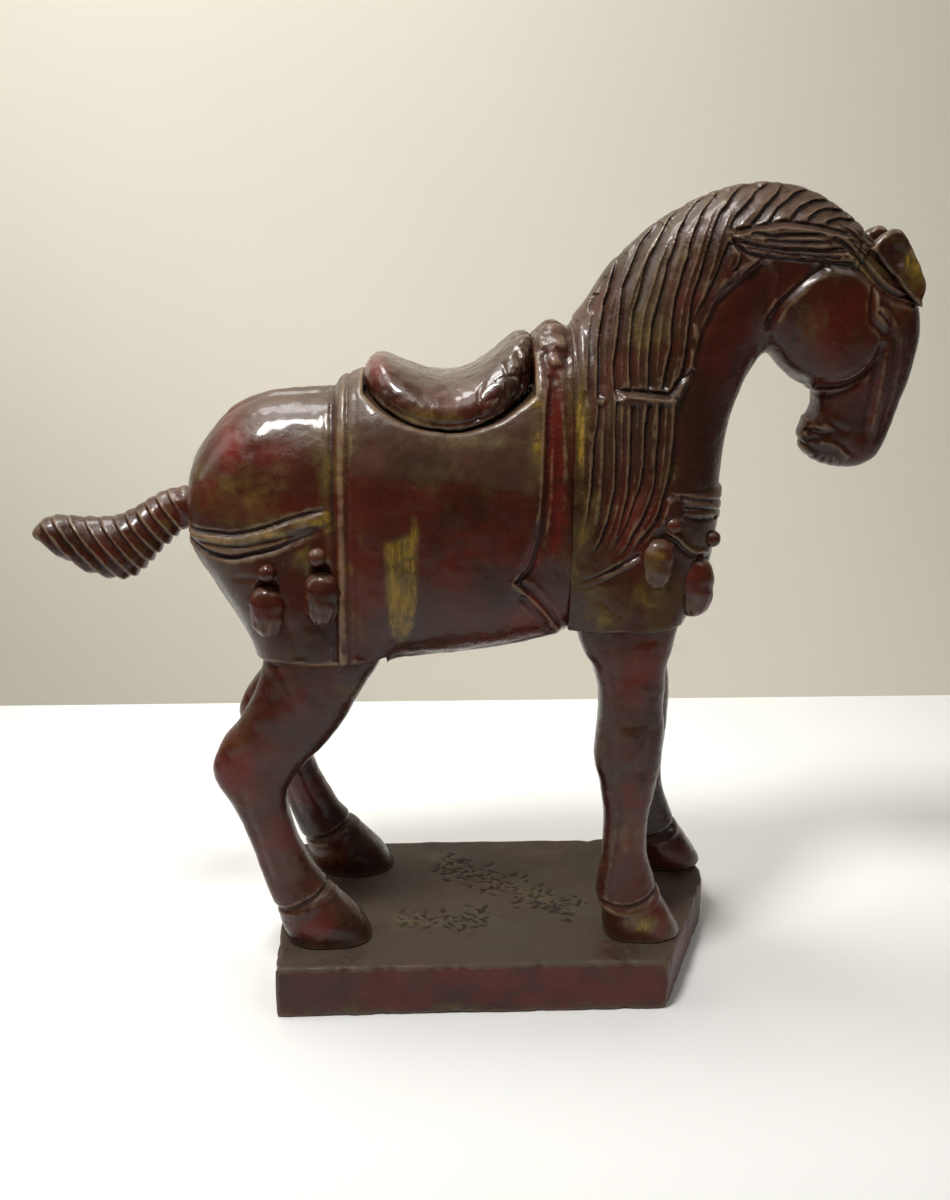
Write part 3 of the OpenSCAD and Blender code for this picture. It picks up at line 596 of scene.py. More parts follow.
def lacquer(name, dark, body, bright, gold, olive, grime_and_shade_colour, worn_and_highlight_colour, dust_and_sheen_colour, gold_base=0.0, olive_from=0.1, worn_and_highlight_amount=0.34, dust_and_sheen=0.4, shine=0.2, coat=0.3, seed=0.0, streak=(1, 1, 0.1)):
    """Rubbed lacquer: dark red-brown, brighter where it pooled, ochre where it was rubbed, grime and painted shade in
    the cuts, dust and a painted sheen on top, edges lightened by wear and a painted highlight.
    """
    n = Nodes(name)
    big = n.noise(14, 3, 0.55, at=(seed, 0, 0))
    mid = n.noise(55, 5, 0.6, at=(0, seed, 0))
    fine = n.noise(420, 6, 0.65, at=(0, 0, seed))
    run = n.noise(560, 6, 0.7, stretch=streak, at=(seed, 0, 0), warp=0.3)
    wash = n.noise(30, 6, 0.65, at=(seed, 1.7, 0), warp=0.8)
    patch = n.noise(95, 6, 0.7, at=(seed, seed, 0), warp=0.6)
    grime_and_shade, worn_edge_and_highlight = n.attr("grime_and_shade"), n.attr("worn_edge_and_highlight")
    gold_at, red_at, dust_and_sheen_at = n.attr("gold"), n.attr("red"), n.attr("dust_and_sheen")
    c = n.mix(n.ramp(big, 0.35, 0.68), dark, body)
    c = n.mix(n.math("MULTIPLY", n.ramp(mid, 0.5, 0.72), 0.2), c, bright)
    c = n.mix(n.math("MULTIPLY", red_at, n.ramp(n.math("ADD", mid, n.math("MULTIPLY", big, 0.6)), 0.55, 0.95), clamp=True), c, bright)
    # ochre rub: where it was painted in, broken up by the grain, and a little everywhere
    # an olive-grey rub lies over much of it in clouds, more where ochre was rubbed in
    o = n.math("ADD", n.math("MULTIPLY", gold_at, 0.72), n.math("MULTIPLY", n.math("SUBTRACT", wash, 0.5), 1.7))
    o = n.math("ADD", o, n.math("MULTIPLY", n.math("SUBTRACT", patch, 0.5), 0.9))
    om = n.ramp(n.math("ADD", o, n.math("MULTIPLY", worn_edge_and_highlight, 0.2)), olive_from, olive_from + 0.55, 0.0, 0.72)
    c = n.mix(om, c, n.mix(n.ramp(n.math("ADD", patch, n.math("MULTIPLY", gold_at, 0.3)), 0.6, 0.92, 0.0, 0.75), olive, gold))
    g = n.math("ADD", n.math("MULTIPLY", n.math("SUBTRACT", gold_at, 0.22), 0.68), gold_base)
    g = n.math("ADD", g, n.math("MULTIPLY", n.math("SUBTRACT", run, 0.5), 3.2))
    g = n.math("ADD", g, n.math("MULTIPLY", n.math("SUBTRACT", patch, 0.5), 1.0))
    g = n.math("ADD", g, n.math("MULTIPLY", worn_edge_and_highlight, 0.12))
    gm = n.math("MULTIPLY", n.ramp(g, 0.38, 0.66, 0.0, 0.9), n.ramp(gold_at, 0.62, 0.8))
    c = n.mix(gm, c, n.mix(n.ramp(patch, 0.3, 0.5), olive, gold))
    # worn edges, lightened both as wear and as a painted highlight
    w = n.math("MULTIPLY", n.ramp(n.math("ADD", worn_edge_and_highlight, n.math("MULTIPLY", n.math("SUBTRACT", patch, 0.5), 0.9)), 0.45, 1.05), worn_and_highlight_amount)
    c = n.mix(w, c, worn_and_highlight_colour)
    # dust and a painted sheen on what looks up
    up = n.new("ShaderNodeSeparateXYZ")
    geo = n.new("ShaderNodeNewGeometry")
    n.link(geo.outputs["Normal"], up.inputs[0])
    d = n.math("MULTIPLY", n.ramp(up.outputs[2], 0.1, 0.95), n.ramp(n.math("ADD", mid, n.math("MULTIPLY", fine, 0.5)), 0.5, 0.95))
    d = n.math("MULTIPLY", n.math("ADD", d, dust_and_sheen_at, clamp=True), dust_and_sheen)
    c = n.mix(d, c, dust_and_sheen_colour)
    # grime and painted shade darken the cuts and hollows
    k = n.ramp(n.math("ADD", grime_and_shade, n.math("MULTIPLY", n.math("SUBTRACT", patch, 0.5), 0.9)), 0.3, 1.35, 0.0, 0.72)
    c = n.mix(k, c, grime_and_shade_colour)
    rough = n.math("ADD", n.math("MULTIPLY", n.ramp(mid, 0.3, 0.75), 0.14), shine)
    rough = n.math("ADD", rough, n.math("MULTIPLY", n.ramp(fine, 0.4, 0.7), 0.14))
    rough = n.math("ADD", rough, n.math("MULTIPLY", gm, 0.1))
    rough = n.math("ADD", rough, n.math("MULTIPLY", k, 0.25))
    rough = n.math("ADD", rough, n.math("MULTIPLY", d, 0.3), clamp=True)
    b = n.bump(run, 0.22, 0.0005)
    b = n.bump(patch, 0.42, 0.001, b)
    b = n.bump(fine, 0.38, 0.0003, b)
    return n.shader(c, rough, b, coat=coat, coat_rough=0.1, spec=0.27)


def bare_wood(name):
    n = Nodes(name)
    grain = n.noise(260, 5, 0.6, stretch=(1, 1, 0.08))
    mid = n.noise(70, 4)
    c = n.mix(n.ramp(grain, 0.35, 0.7), lin(150, 112, 70), lin(196, 160, 112))
    c = n.mix(n.math("MULTIPLY", n.ramp(mid, 0.5, 0.7), 0.4), c, lin(110, 78, 48))
    return n.shader(c, n.math("ADD", n.math("MULTIPLY", grain, 0.2), 0.55), n.bump(grain, 0.3, 0.0004))


COMMON = dict(
    dark=lin(44, 23, 12), body=lin(60, 26, 15), bright=lin(96, 22, 12), gold=lin(138, 108, 34), olive=lin(86, 73, 38),
    grime_and_shade_colour=lin(26, 14, 9), worn_and_highlight_colour=lin(142, 116, 92), dust_and_sheen_colour=lin(91, 79, 66))
FINISH = {
    "lacquered_wood": lacquer("lacquered_wood", **COMMON, coat=0.22, shine=0.17, worn_and_highlight_amount=0.46),
    "saddle_lacquer": lacquer("saddle_lacquer", **{**COMMON, "gold": lin(116, 92, 44)}, gold_base=0.02, shine=0.11, coat=0.52, seed=3.1, streak=(0.3, 1, 1)),
    "gilded_wood": lacquer("gilded_wood", **COMMON, gold_base=0.04, worn_and_highlight_amount=0.5, shine=0.18, coat=0.3, seed=5.7),
    "slab_wood": lacquer("slab_wood", dark=lin(48, 25, 19), body=lin(76, 35, 29), bright=lin(96, 38, 33), gold=lin(104, 88, 46), olive=lin(70, 62, 42), grime_and_shade_colour=lin(24, 14, 10),
                         worn_and_highlight_colour=lin(120, 100, 84), dust_and_sheen_colour=lin(72, 64, 52), dust_and_sheen=0.8, shine=0.36, coat=0.05, seed=8.3, streak=(0.12, 1, 1)),
    "bare_wood": bare_wood("bare_wood"),
}


# ---------------------------------------------------------------- torso
def leg_field(blk, st, top, tx, dx, flip, k=5, m=96):
    return blk.loft(leg_rows(st, top, tx, dx, flip), k, m)


def make_torso():
    b = Block((-135, -41, 150), (30, 48, 294), 0.76)
    f = b.loft(TORSO, 5, 160)
    for flip in (False, True):
        f = smin(f, leg_field(b, HIND_IN + HIND[:3], 158, 2 if flip else 0, 9 if flip else 0, flip), 8)
    # the blanket stands proud of rump and front strip
    blanket = b.inside([(-70, 140), (-70, 275), (16, 290), (14.2, 272), (12.6, 261), (12, 250), (11.6, 238), (11.4, 227), (10, 215), (8, 207),
                        (5, 198.5), (0.5, 193.5), (4, 190), (7.5, 187), (12, 182), (15.5, 177.5), (22, 168), (24, 140)], 1.3)
    f = f - 0.9 * blanket[:, None, :]
    strip = b.inside([(13, 290), (12, 250), (11, 222), (2, 194), (9, 185), (15, 178), (22, 167), (40, 167), (40, 295)], 2.0)
    f = f + 0.9 * (strip * (1 - step(16, 24.5, b.X)))[:, None, :].astype(np.float32)
    rump = b.inside([(-140, 140), (-140, 280), (-71, 280), (-71, 140)], 2.0)
    f = f + 0.5 * rump[:, None, :]
    # rolled edges of the blanket
    b.cut(beyond([(-70.3, 268), (-70.2, 250), (-70.2, 228), (-70, 203), (-70.2, 178), (-70.4, 160)], 4, 4), 1.5, 2.1, 1.2, (0, 0))
    b.rib([(-67, 269), (-67.3, 245), (-67.3, 227), (-67.2, 203), (-67.6, 178), (-67.5, 158)], 0.6, 2.0, (0, 0))
    b.cut([(-64.6, 272), (-64.6, 246), (-64.8, 227), (-65, 203), (-65, 158)], 0.75, 1.1, 1.1, (0, 0))
    b.cut([(-61.0, 266), (-61.2, 246), (-61.4, 227), (-61.2, 203), (-61.8, 158)], 0.22, 1.4, 1.2, (0, 0))
    b.rib(LINES["blankF"], 0.55, 0.8, (0, 0))
    front = [(p[0] + 2.1, p[1]) for p in LINES["blankF"][:-1]] + [(1.5, 192.5)]
    b.cut(beyond(front, 4, 0), 0.95, 1.15, 1.0, (0, 2))
    b.rib(LINES["blankF2"], 0.9, 1.1, (1, 2))
    b.cut([(3.4, 187.6), (6.4, 184.5), (10.5, 179.5), (14, 174.6), (19, 167)], 1.2, 2.8, 1.1, (1, 2))
    b.rib([(2.5, 194), (9, 192), (14, 186), (18, 180), (22.5, 171)], 0.5, 1.2)
    b.rib([(13.5, 205), (15.2, 213), (17, 199), (18.6, 187)], 0.25, 1.2)
    b.cut([(-62, 236), (-30, 234), (8, 229)], 0.3, 3.4, 1.3, (4, 8))
    # front strip: a long hollow and the deep line where it meets the mane
    b.cut([(17.4, 281), (17, 262), (17.4, 240), (17, 222), (14.5, 205)], 0.7, 2.6, 1.2, (5, 9))
    b.cut([(21.4, 285), (20.9, 266), (21.6, 257), (22.6, 245.5), (23.6, 234), (24.2, 218), (24.4, 208), (24.4, 202)], 0.8, 2.2, 1.3, (0, 9))
    # hem under the blanket
    b.rib([(-64, 160.5), (-53, 157), (-38, 155.5), (-22, 156), (-8, 158.5), (6, 161.5), (20, 166.5)], 0.5, 1.4, (0, 0))
    # crupper: two cords between deep cuts
    b.cut(beyond(LINES["crupA"], 7, 0), 1.7, 1.35, 1.0, (0, 9))
    mid1 = [(-131, 207.5), (-125.5, 209.2), (-117, 209.5), (-108, 209.6), (-98, 211.6), (-89, 214.4), (-79.5, 217.4), (-71, 219.6)]
    b.rib(mid1, 0.7, 2.0, (0, 8))
    b.cut(beyond(LINES["crupB"], 7, 0), 0.9, 1.1, 1.0, (0, 8))
    b.rib([(-131, 204.5), (-124, 206.4), (-117, 205.6), (-108, 205.2), (-98, 207), (-89, 209.2), (-79.5, 212.6), (-71, 215.6)], 0.5, 1.2, (0, 8))
    b.cut(beyond(LINES["crupC"], 7, 0), 2.1, 1.7, 1.0, (0, 10))
    # thigh creases
    b.cut(LINES["buttock"], 0.7, 2.2, 1.2)
    b.cut([(-93, 186), (-90.5, 178), (-88, 170), (-85.5, 161)], 0.5, 4.5, 1.4, (5, 0))
    b.rib([(-96.5, 176), (-97, 168), (-96, 159)], 0.6, 4.0, (5, 0))
    # hollows above the tassels
    for x, z, d, w in ((-97.3, 190.8, 2.6, 5.2), (-75.6, 197.4, 2.6, 5.2), (-92.5, 184, 1.4, 3.4), (-70.5, 190, 1.4, 3.2)):
        r = np.hypot(b.X - x, b.Z - z)
        b.deep = np.maximum(b.deep, (d * np.clip(1 - r / w, 0, 1) ** 0.9).astype(np.float32))
    # furrow along the top of the rump
    yy = np.abs(b.y - MID)[None, :, None]
    along = (step(-126, -116, b.x) * (1 - step(-78, -70.5, b.x)))[:, None, None]
    above = step(226, 250, b.z)[None, None, :]
    f = f + along * above * (2.6 * np.exp(-(yy / 3.2) ** 2) - 0.3 * np.exp(-((yy - 8) / 4.5) ** 2)).astype(np.float32)
    f = f + b.relief()
    # knot of the girth on the withers
    for x, y, z, r in both([(17.2, -2.5, 285.2, 5.6), (18.6, -10.0, 281.8, 4.6), (12.6, -7, 281.6, 4.0), (16.4, -15.0, 277.4, 3.0)]):
        f = smin(f, b.ball(x, y, z, r), 2.6)
    knot = np.exp(-((b.X - 16.5) / 8) ** 2 - ((b.Z - 281) / 9) ** 2).astype(np.float32)[:, None, :]
    f = f + knot * (0.95 * b.noise(3.6, 14) + 0.6 * b.noise(2.1, 15))
    for x, y, z, r in both([(15.8, -6.4, 286.2, 1.2), (15.2, -12.6, 281.0, 1.1)]):
        f = smax(f, -b.ball(x, y, z, r), 0.8)
    # round seat of the saddle
    hole = np.maximum(np.hypot(b.X + 25, b.Z - 300.5) - 48.2, np.maximum(-58.3 - b.X, b.X - 8.8))[:, None, :]
    f = smax(f, -hole, 1.5)
    f = f + 0.32 * b.noise(8, 11) + 0.13 * b.noise(3.2, 12)
    # glue planes
    f = np.maximum(f, (b.x - 24.5)[:, None, None] + 0 * f)
    f = np.maximum(f, np.where((b.x < -50.2)[:, None, None], 158.2 + 0.8 * b.noise(7, 98) - b.z[None, None, :], -9))
    # socket and bore of the tail
    rr = np.hypot(b.y[None, :, None] - MID, b.z[None, None, :] - 214)
    f = smax(f, -np.maximum(rr - 10.6 + 0 * b.x[:, None, None], (b.x + 128.3)[:, None, None]), 1.0)
    f = np.maximum(f, -np.maximum(rr - 5.6 + 0 * b.x[:, None, None], (b.x + 103)[:, None, None]))
    # the dust blobs lay dust and a painted sheen, such as the grey sheen low on the thigh
    for a in (("gold", -103, 230, 17, 11, 0.66), ("gold", -90, 218, 16, 7, 0.56), ("gold", -76, 248, 5, 12, 0.5), ("gold", -73, 236, 4, 16, 0.7), ("gold", -73, 219, 4, 10, 0.8),
              ("gold", -115, 209.5, 14, 2.6, 0.8), ("gold", -92, 212.5, 14, 2.8, 0.85), ("gold", -76, 217.5, 8, 2.6, 0.85), ("gold", -84, 203, 13, 6, 0.5), ("gold", -66, 210, 4, 60, 0.34), ("gold", 9.0, 250, 4.2, 18, 0.8),
              ("gold", -14, 249.5, 26, 5, 0.62), ("gold", -60, 200, 4, 50, 0.3), ("gold", -63, 255, 8, 12, 0.3), ("gold", -70.5, 186, 3, 12, 0.5), ("gold", 21.5, 262, 3, 20, 0.55),
              ("red", -110, 247, 6, 9, 1.2), ("red", -118, 228, 8, 8, 0.5), ("red", -94, 243, 9, 6, 0.55), ("red", -18, 206, 36, 15, 0.8), ("red", 17, 240, 4.6, 42, 1.1), ("red", 6, 205, 10, 20, 0.7),
              ("red", 0, 178, 24, 14, 0.9), ("red", -58, 190, 14, 40, 0.5), ("red", -30, 225, 40, 10, 0.35), ("red", -95, 222, 20, 5, 0.45), ("red", -80, 176, 10, 8, 0.4), ("dust_and_sheen", -112, 190, 12, 22, 0.6), ("dust_and_sheen", -84, 252, 12, 10, 0.4), ("dust_and_sheen", -100, 256, 30, 6, 0.4), ("dust_and_sheen", -98, 172, 8, 14, 0.25),
              ("dust_and_sheen", -40, 250, 30, 7, 0.42), ("dust_and_sheen", 14, 283, 10, 8, 0.35), ("dust_and_sheen", -60, 262, 10, 8, 0.4)):
        b.blob(*a)
    # a paler band along the top of the blanket: dust and a painted sheen on its upper side
    b.maps["dust_and_sheen"] = np.maximum(b.maps["dust_and_sheen"], 0.5 * b.inside([(-64, 237), (-30, 235), (-4, 232), (8, 229), (10, 262), (-64, 262)], 4.0))
    streak = b.inside([(-50.5, 211), (-46, 212), (-41, 214), (-40, 222), (-36.6, 221), (-36.8, 196), (-37.6, 176), (-41, 169), (-44.5, 164.5), (-49.6, 169)], 3.4)
    b.maps["gold"] = np.maximum(b.maps["gold"], 0.84 * streak)
    return build("torso_carved", b, f, calm=((0, 24.5, 3.5), (2, 158, 1.6)))


# ---------------------------------------------------------------- neck and head
def make_neck():
    b = Block((18, -34, 142), (170, 41, 350), 0.58)
    f = b.loft(NECK, 5, 150, band=14)
    for flip in (False, True):
        f = smin(f, leg_field(b, FORE_IN + FORE[:3], 170, 8 if flip else 0, 21.5 if flip else 0, flip), 8)
    # mane block, proud of the skin; the lower locks stand proud of the upper ones below the step
    mane = b.inside([(18, 193), (28, 193), (36, 196), (44, 200), (52, 209), (58, 216), (61, 225), (64, 237), (65, 263), (71, 275), (70, 285), (72.5, 294), (76, 302),
                     (83.5, 309), (95, 317), (112, 315), (131, 314), (140, 330), (120, 360), (60, 360), (10, 320)], 1.4)
    f = f - 0.7 * mane[:, None, :]
    skin = b.inside([(65, 262), (71, 275), (70, 285), (72.5, 294), (76, 302), (83.5, 309), (95, 317), (101, 313), (101, 290), (96, 262), (90, 225), (62, 225)], 3.0)
    f = f + 0.9 * skin[:, None, :]
    lower = b.inside([(40, 267), (52, 266.4), (61, 265.4), (66, 263), (66, 225), (58, 205), (38, 205)], 0.9) * step(228, 262, b.Z)
    f = f - 1.0 * lower[:, None, :]
    L = LINES
    b.cut(beyond(L["STEP"], 2, 0), 1.7, 1.7, 1.0, (1, 1))
    locks = [(beyond(L[k], 5, 0), 2.1) for k in ("Gb", "Gc", "Gd", "Ge", "Gf", "Gg", "Gh", "Gi", "Gj", "Gk", "Gl", "Ga")]
    locks += [(L["Ga0"], 1.3), (L["Gg2"], 1.7), (L["Gm"], 1.2)]
    for p, d in locks:
        b.lock(p, d * 0.92, 3.4, 0.8, (0, 1.5))
    # finer cuts between the locks
    for p, d in (([(49, 322), (44.5, 313), (41, 304), (38.6, 294), (37.2, 282), (37, 268)], 0.9), ([(58.5, 329), (54, 320), (50, 311), (46.3, 300), (44, 288), (43.5, 270)], 0.8),
                 ([(68.5, 335), (63, 328), (58.2, 317), (55, 307), (52, 297), (50.3, 284), (50, 270)], 0.8), ([(75.5, 338.5), (70, 331.5), (66, 322), (62.6, 312), (59.6, 301), (58, 288), (57, 272)], 0.7),
                 ([(84, 341), (78.5, 335), (74.5, 327), (71.5, 317), (68, 306), (65.6, 294), (64.8, 280)], 0.7), ([(93, 343), (87.5, 338), (83, 332), (80, 324), (77.5, 314), (73.5, 304)], 0.6),
                 ([(36, 306), (33, 298), (31, 288), (30, 275), (30, 262)], 0.9)):
        b.lock(beyond(p, 3, 0), d * 0.72, 1.9, 0.7, (0, 6))
    for k in ("L1", "L2", "L3", "L0", "M"):
        b.lock(L[k], 1.45, 2.8, 0.8, (1.0, 12))
    b.cut(L["L4"], 1.1, 1.8, 1.2, (1.0, 8))
    b.cut(L["Lm1"], 1.1, 1.7, 1.2, (3, 6))
    for p, d in (([(36.5, 264), (36.4, 252), (36.4, 240), (36, 228), (34.6, 216), (31.5, 208)], 1.1), ([(44, 264), (43.8, 252), (43.8, 238), (43.2, 226), (40.5, 214), (36, 205)], 0.9),
                 ([(50, 263), (49.8, 250), (49.6, 238), (48.6, 226), (45.5, 216), (40, 206)], 0.9), ([(61.5, 263), (61.3, 250), (61, 238), (59.4, 228), (55.5, 217), (49, 207)], 0.8),
                 ([(28.8, 262), (28.6, 248), (28.8, 232), (28.4, 216)], 1.0), ([(38, 236), (37, 224), (34, 212), (29, 204)], 0.7)):
        b.cut(p, d * 0.62, 1.1, 1.1, (2, 10))
    b.rib([(q[0] + 1.3, q[1] - 0.8) for q in L["S1"]], 0.9, 1.3, (2, 3))
    b.cut([(q[0] + 3.4, q[1] - 1.8) for q in L["S1"]], 0.8, 2.4, 1.2, (2, 6))
    # tuft tied over the crest
    tuft = b.inside([(84, 325.5), (92, 328.4), (104, 330.4), (118, 328.6), (131, 325.5), (140, 320), (134, 314), (119, 316.3), (103, 317.4), (90, 319.4)], 1.4)
    f = f - 0.8 * tuft[:, None, :]
    b.cut(beyond(L["T1"], 0, 5), 1.5, 1.5, 1.0, (1, 3))
    b.cut(L["T2"], 1.3, 1.3, 1.0, (2, 4))
    b.cut(beyond(L["T3"], 0, 6), 1.4, 1.4, 1.0, (1, 3))
    b.cut([(88, 321.6), (96, 320.2), (106, 318.9), (117, 318.2), (127, 317.4)], 1.1, 1.2, 1.1, (2, 4))
    b.cut([(96, 324), (104, 323.4), (112, 323.2), (122, 323.2)], 1.1, 1.2, 1.1, (2, 4))
    b.cut(beyond(L["T4"], 0, 4), 1.5, 1.8, 1.1, (1, 2))
    # forelock, combed down to the browband
    b.cut(beyond(L["brow"], 0, 0), 1.6, 1.9, 1.2, (1, 4))
    b.cut(L["brow2"], 1.1, 1.6, 1.2, (2, 3))
    for p in ([(161, 307.5), (155.5, 311), (150, 316), (144, 321), (138, 325)], [(160, 303.4), (154, 305.2), (148.5, 308.5), (142.5, 313.6), (137, 318.6), (131, 323.2)],
              [(126, 330), (131, 327), (136, 322), (141, 317), (146.5, 311.5), (152, 307)], [(133, 314), (139, 309), (146, 303.8), (153, 300.4), (160, 298.8), (166, 298.4)],
              [(130, 316), (136, 311.6), (143, 305.6), (150, 301.6), (158, 300)]):
        b.cut(p, 1.0, 1.5, 1.2, (2, 3))
    # cheek: a round disc inside a cut ring
    r = np.hypot((b.X - 125.5) / 1.02, b.Z - 291.5)
    disc = 1 - step(19, 24.5, r)
    f = f - (1.3 * disc)[:, None, :].astype(np.float32)
    b.cut(L["cheek"], 1.7, 3.0, 1.2, (2, 5))
    b.rib([(q[0] - 2.6, q[1] - 0.2) for q in L["cheek"]], 0.5, 1.2, (2, 5))
    b.cut([(101.5, 289), (102.6, 282), (106.5, 275.5), (113, 270.5), (121, 267.6)], 0.8, 2.6, 1.3, (3, 3))
    b.cut([(124, 266), (133, 267.2), (139, 270), (144, 274.4), (147.5, 280)], 1.5, 2.1, 1.2, (3, 2))
    b.rib([(126, 268.6), (133, 269.6), (138, 272), (142.4, 276)], 0.6, 1.2, (3, 2))
    b.cut([(120, 262.4), (128, 262.6), (135.5, 265.4), (141.5, 269.6)], 0.9, 1.8, 1.2, (3, 3))
    # eye
    b.cut(L["face1"], 1.2, 2.1, 1.2, (2, 2))
    r = np.hypot((b.X - 148.4) / 1.5, (b.Z - 294.4 + 0.55 * (b.X - 148.4)))
    f = f - (0.6 * (1 - step(1.5, 4.6, r)))[:, None, :].astype(np.float32)
    b.cut(L["eslit"], 0.8, 1.0, 1.0, (1, 1))
    b.cut([(144.0, 300.2), (148, 298.6), (152, 294.8), (154.6, 291.0)], 0.55, 1.0, 1.0, (1, 1))
    # face: long flat cuts down to the muzzle
    b.cut(beyond(L["face2"], 1, 2), 1.1, 2.8, 1.2, (3, 5))
    b.cut(beyond(L["face3"], 0, 2), 1.0, 2.6, 1.2, (3, 5))
    b.rib([(149.6, 282), (150, 268), (149.8, 256), (148.6, 246)], 0.5, 1.5, (4, 6))
    b.cut([(157.6, 287), (158.6, 276), (157.4, 263), (155, 251), (152.6, 243)], 0.6, 2.2, 1.2, (3, 4))
    # jaw, nostril, mouth
    b.cut(L["jawrim"], 1.0, 1.8, 1.2, (2, 2))
    b.rib([(122.2, 265), (123.4, 259.6), (123.2, 254.6), (122.2, 250)], 0.6, 1.2, (2, 2))
    r = np.hypot((b.X - 127.5) / 1.5, b.Z - 250.5)
    f = f - (0.7 * (1 - step(1.0, 6.5, r)))[:, None, :].astype(np.float32)
    b.cut([(123, 246.4), (126, 247.6), (130, 247), (133.6, 248.6)], 0.9, 2.2, 1.2, (1, 2))
    b.cut([(129, 254), (134, 250), (140, 247.6)], 0.5, 2.6, 1.3, (2, 2))
    b.cut([(120.5, 243.4), (123.4, 241.6), (126.4, 239.4), (129.6, 238.2)], 1.0, 1.2, 1.0, (0, 2))
    b.cut([(121.5, 240.6), (125, 244.6), (129, 245.4)], 0.5, 2.4, 1.2, (1, 2))
    b.cut([(137.6, 243.4), (141, 239.6), (145, 237.8)], 0.5, 2.6, 1.2, (1, 2))
    b.rib([(128, 243), (133, 242.4), (137, 240), (141, 236.6)], 0.6, 1.3, (1, 1))
    for p in ([(131.6, 240.4), (128.4, 237.6), (125.6, 235.2)], [(132.4, 239.8), (130.6, 236), (129.4, 232.8)], [(133.4, 239.8), (133.6, 236), (133.4, 231.6)],
              [(135, 240.6), (136.8, 236.8), (138, 232)]):
        b.cut(p, 0.45, 1.1, 1.1, (0.5, 0))
    # harness across the chest
    band = b.inside([(60, 214.5), (66, 216.6), (74, 215.2), (81, 213.8), (95, 211), (95, 226), (81, 224), (74, 225.4), (64, 227)], 1.0)
    f = f - 0.5 * band[:, None, :]
    for k in ("CS1", "CS2", "CS3"):
        b.cut(beyond(L[k], 0, 6), 1.0 if k != "CS2" else 0.7, 1.3, 1.1, (1, 0))
    b.cut([(61.5, 210), (66.5, 207), (71, 202.5), (75.5, 199.5), (82, 198)], 1.0, 1.5, 1.1, (1, 2))
    b.rib([(62.5, 211.8), (67.6, 208.6), (72.2, 204.2), (76.4, 201.4), (84, 199.6)], 0.8, 1.2, (1, 2))
    b.cut(L["STRAP"], 0.9, 1.2, 1.1, (1, 1))
    b.rib([(q[0] + 0.3, q[1] - 1.7) for q in L["STRAP"]], 0.35, 0.9, (1, 1))
    b.cut([(q[0] + 0.6, q[1] - 3.3) for q in L["STRAP"]], 0.4, 1.1, 1.1, (1, 1))
    r = np.hypot(b.X - 29.5, b.Z - 197)
    b.high = np.maximum(b.high, (0.8 * (1 - step(1.0, 2.4, r))).astype(np.float32))
    b.deep = np.maximum(b.deep, (0.6 * np.exp(-((r - 3.8) / 0.8) ** 2)).astype(np.float32))
    for x, z, d, w in ((60.6, 208.6, 2.2, 5), (79.2, 196.6, 2.0, 4.6)):
        r = np.hypot(b.X - x, b.Z - z)
        b.deep = np.maximum(b.deep, (d * np.clip(1 - r / w, 0, 1) ** 0.9).astype(np.float32))
    b.cut([(25.2, 292), (25.4, 266), (25.6, 250), (26.4, 236), (27.4, 224), (26.4, 214), (25, 208), (24.4, 202)], 0.9, 2.2, 1.2, (0, 9))
    b.cut([(34, 187), (40, 181), (47, 176), (56, 173)], 0.4, 3.6, 1.4, (4, 4))
    # the cuts fade towards the crest's middle line, which keeps its outline nearly even
    fade = 0.14 + 0.86 * step(1.0, 8.0, np.abs(b.y - 2.8))
    high_up = step(286, 300, b.Z - 0.0 * b.X)
    f = f + b.relief() * (1 - high_up[:, None, :] * (1 - fade)[None, :, None]).astype(np.float32)
    f = f + 0.2 * b.noise(9, 21) + 0.09 * b.noise(3.4, 22)
    f = np.maximum(f, (24.04 - b.x)[:, None, None] + 0 * f)
    f = smax(f, 170.2 + 0.8 * b.noise(7, 97) - b.z[None, None, :], 0.2)
    # the dust blobs lay dust and a painted sheen
    for a in (("gold", 36, 184, 14, 10, 0.55), ("gold", 30, 235, 6, 26, 0.4), ("gold", 53, 290, 9, 12, 0.5), ("gold", 84, 336, 16, 7, 0.42), ("gold", 64, 322, 12, 12, 0.28),
              ("gold", 112, 291, 10, 12, 0.42), ("gold", 108, 334, 12, 5, 0.45), ("gold", 26.5, 252, 3.4, 24, 0.95), ("gold", 28, 215, 5, 10, 0.6), ("gold", 140, 314, 16, 8, 0.36), ("gold", 62, 240, 4, 22, 0.25),
              ("gold", 80, 200, 14, 16, 0.4), ("gold", 58, 186, 22, 16, 0.5), ("gold", 34, 200, 14, 12, 0.45), ("red", 127, 288, 24, 24, 0.6), ("red", 146, 262, 12, 26, 0.6), ("red", 50, 218, 12, 22, 0.5), ("red", 66, 300, 8, 24, 0.6), ("red", 36, 280, 9, 20, 0.5),
              ("red", 84, 290, 14, 18, 0.45), ("dust_and_sheen", 34, 288, 12, 16, 0.55), ("dust_and_sheen", 54, 306, 20, 20, 0.5), ("dust_and_sheen", 44, 262, 20, 30, 0.35), ("dust_and_sheen", 92, 330, 26, 10, 0.3), ("dust_and_sheen", 60, 180, 18, 10, 0.2)):
        b.blob(*a)
    return build("neck_and_head_carved", b, f, calm=((0, 24.0, 3.5), (2, 170, 1.6)))


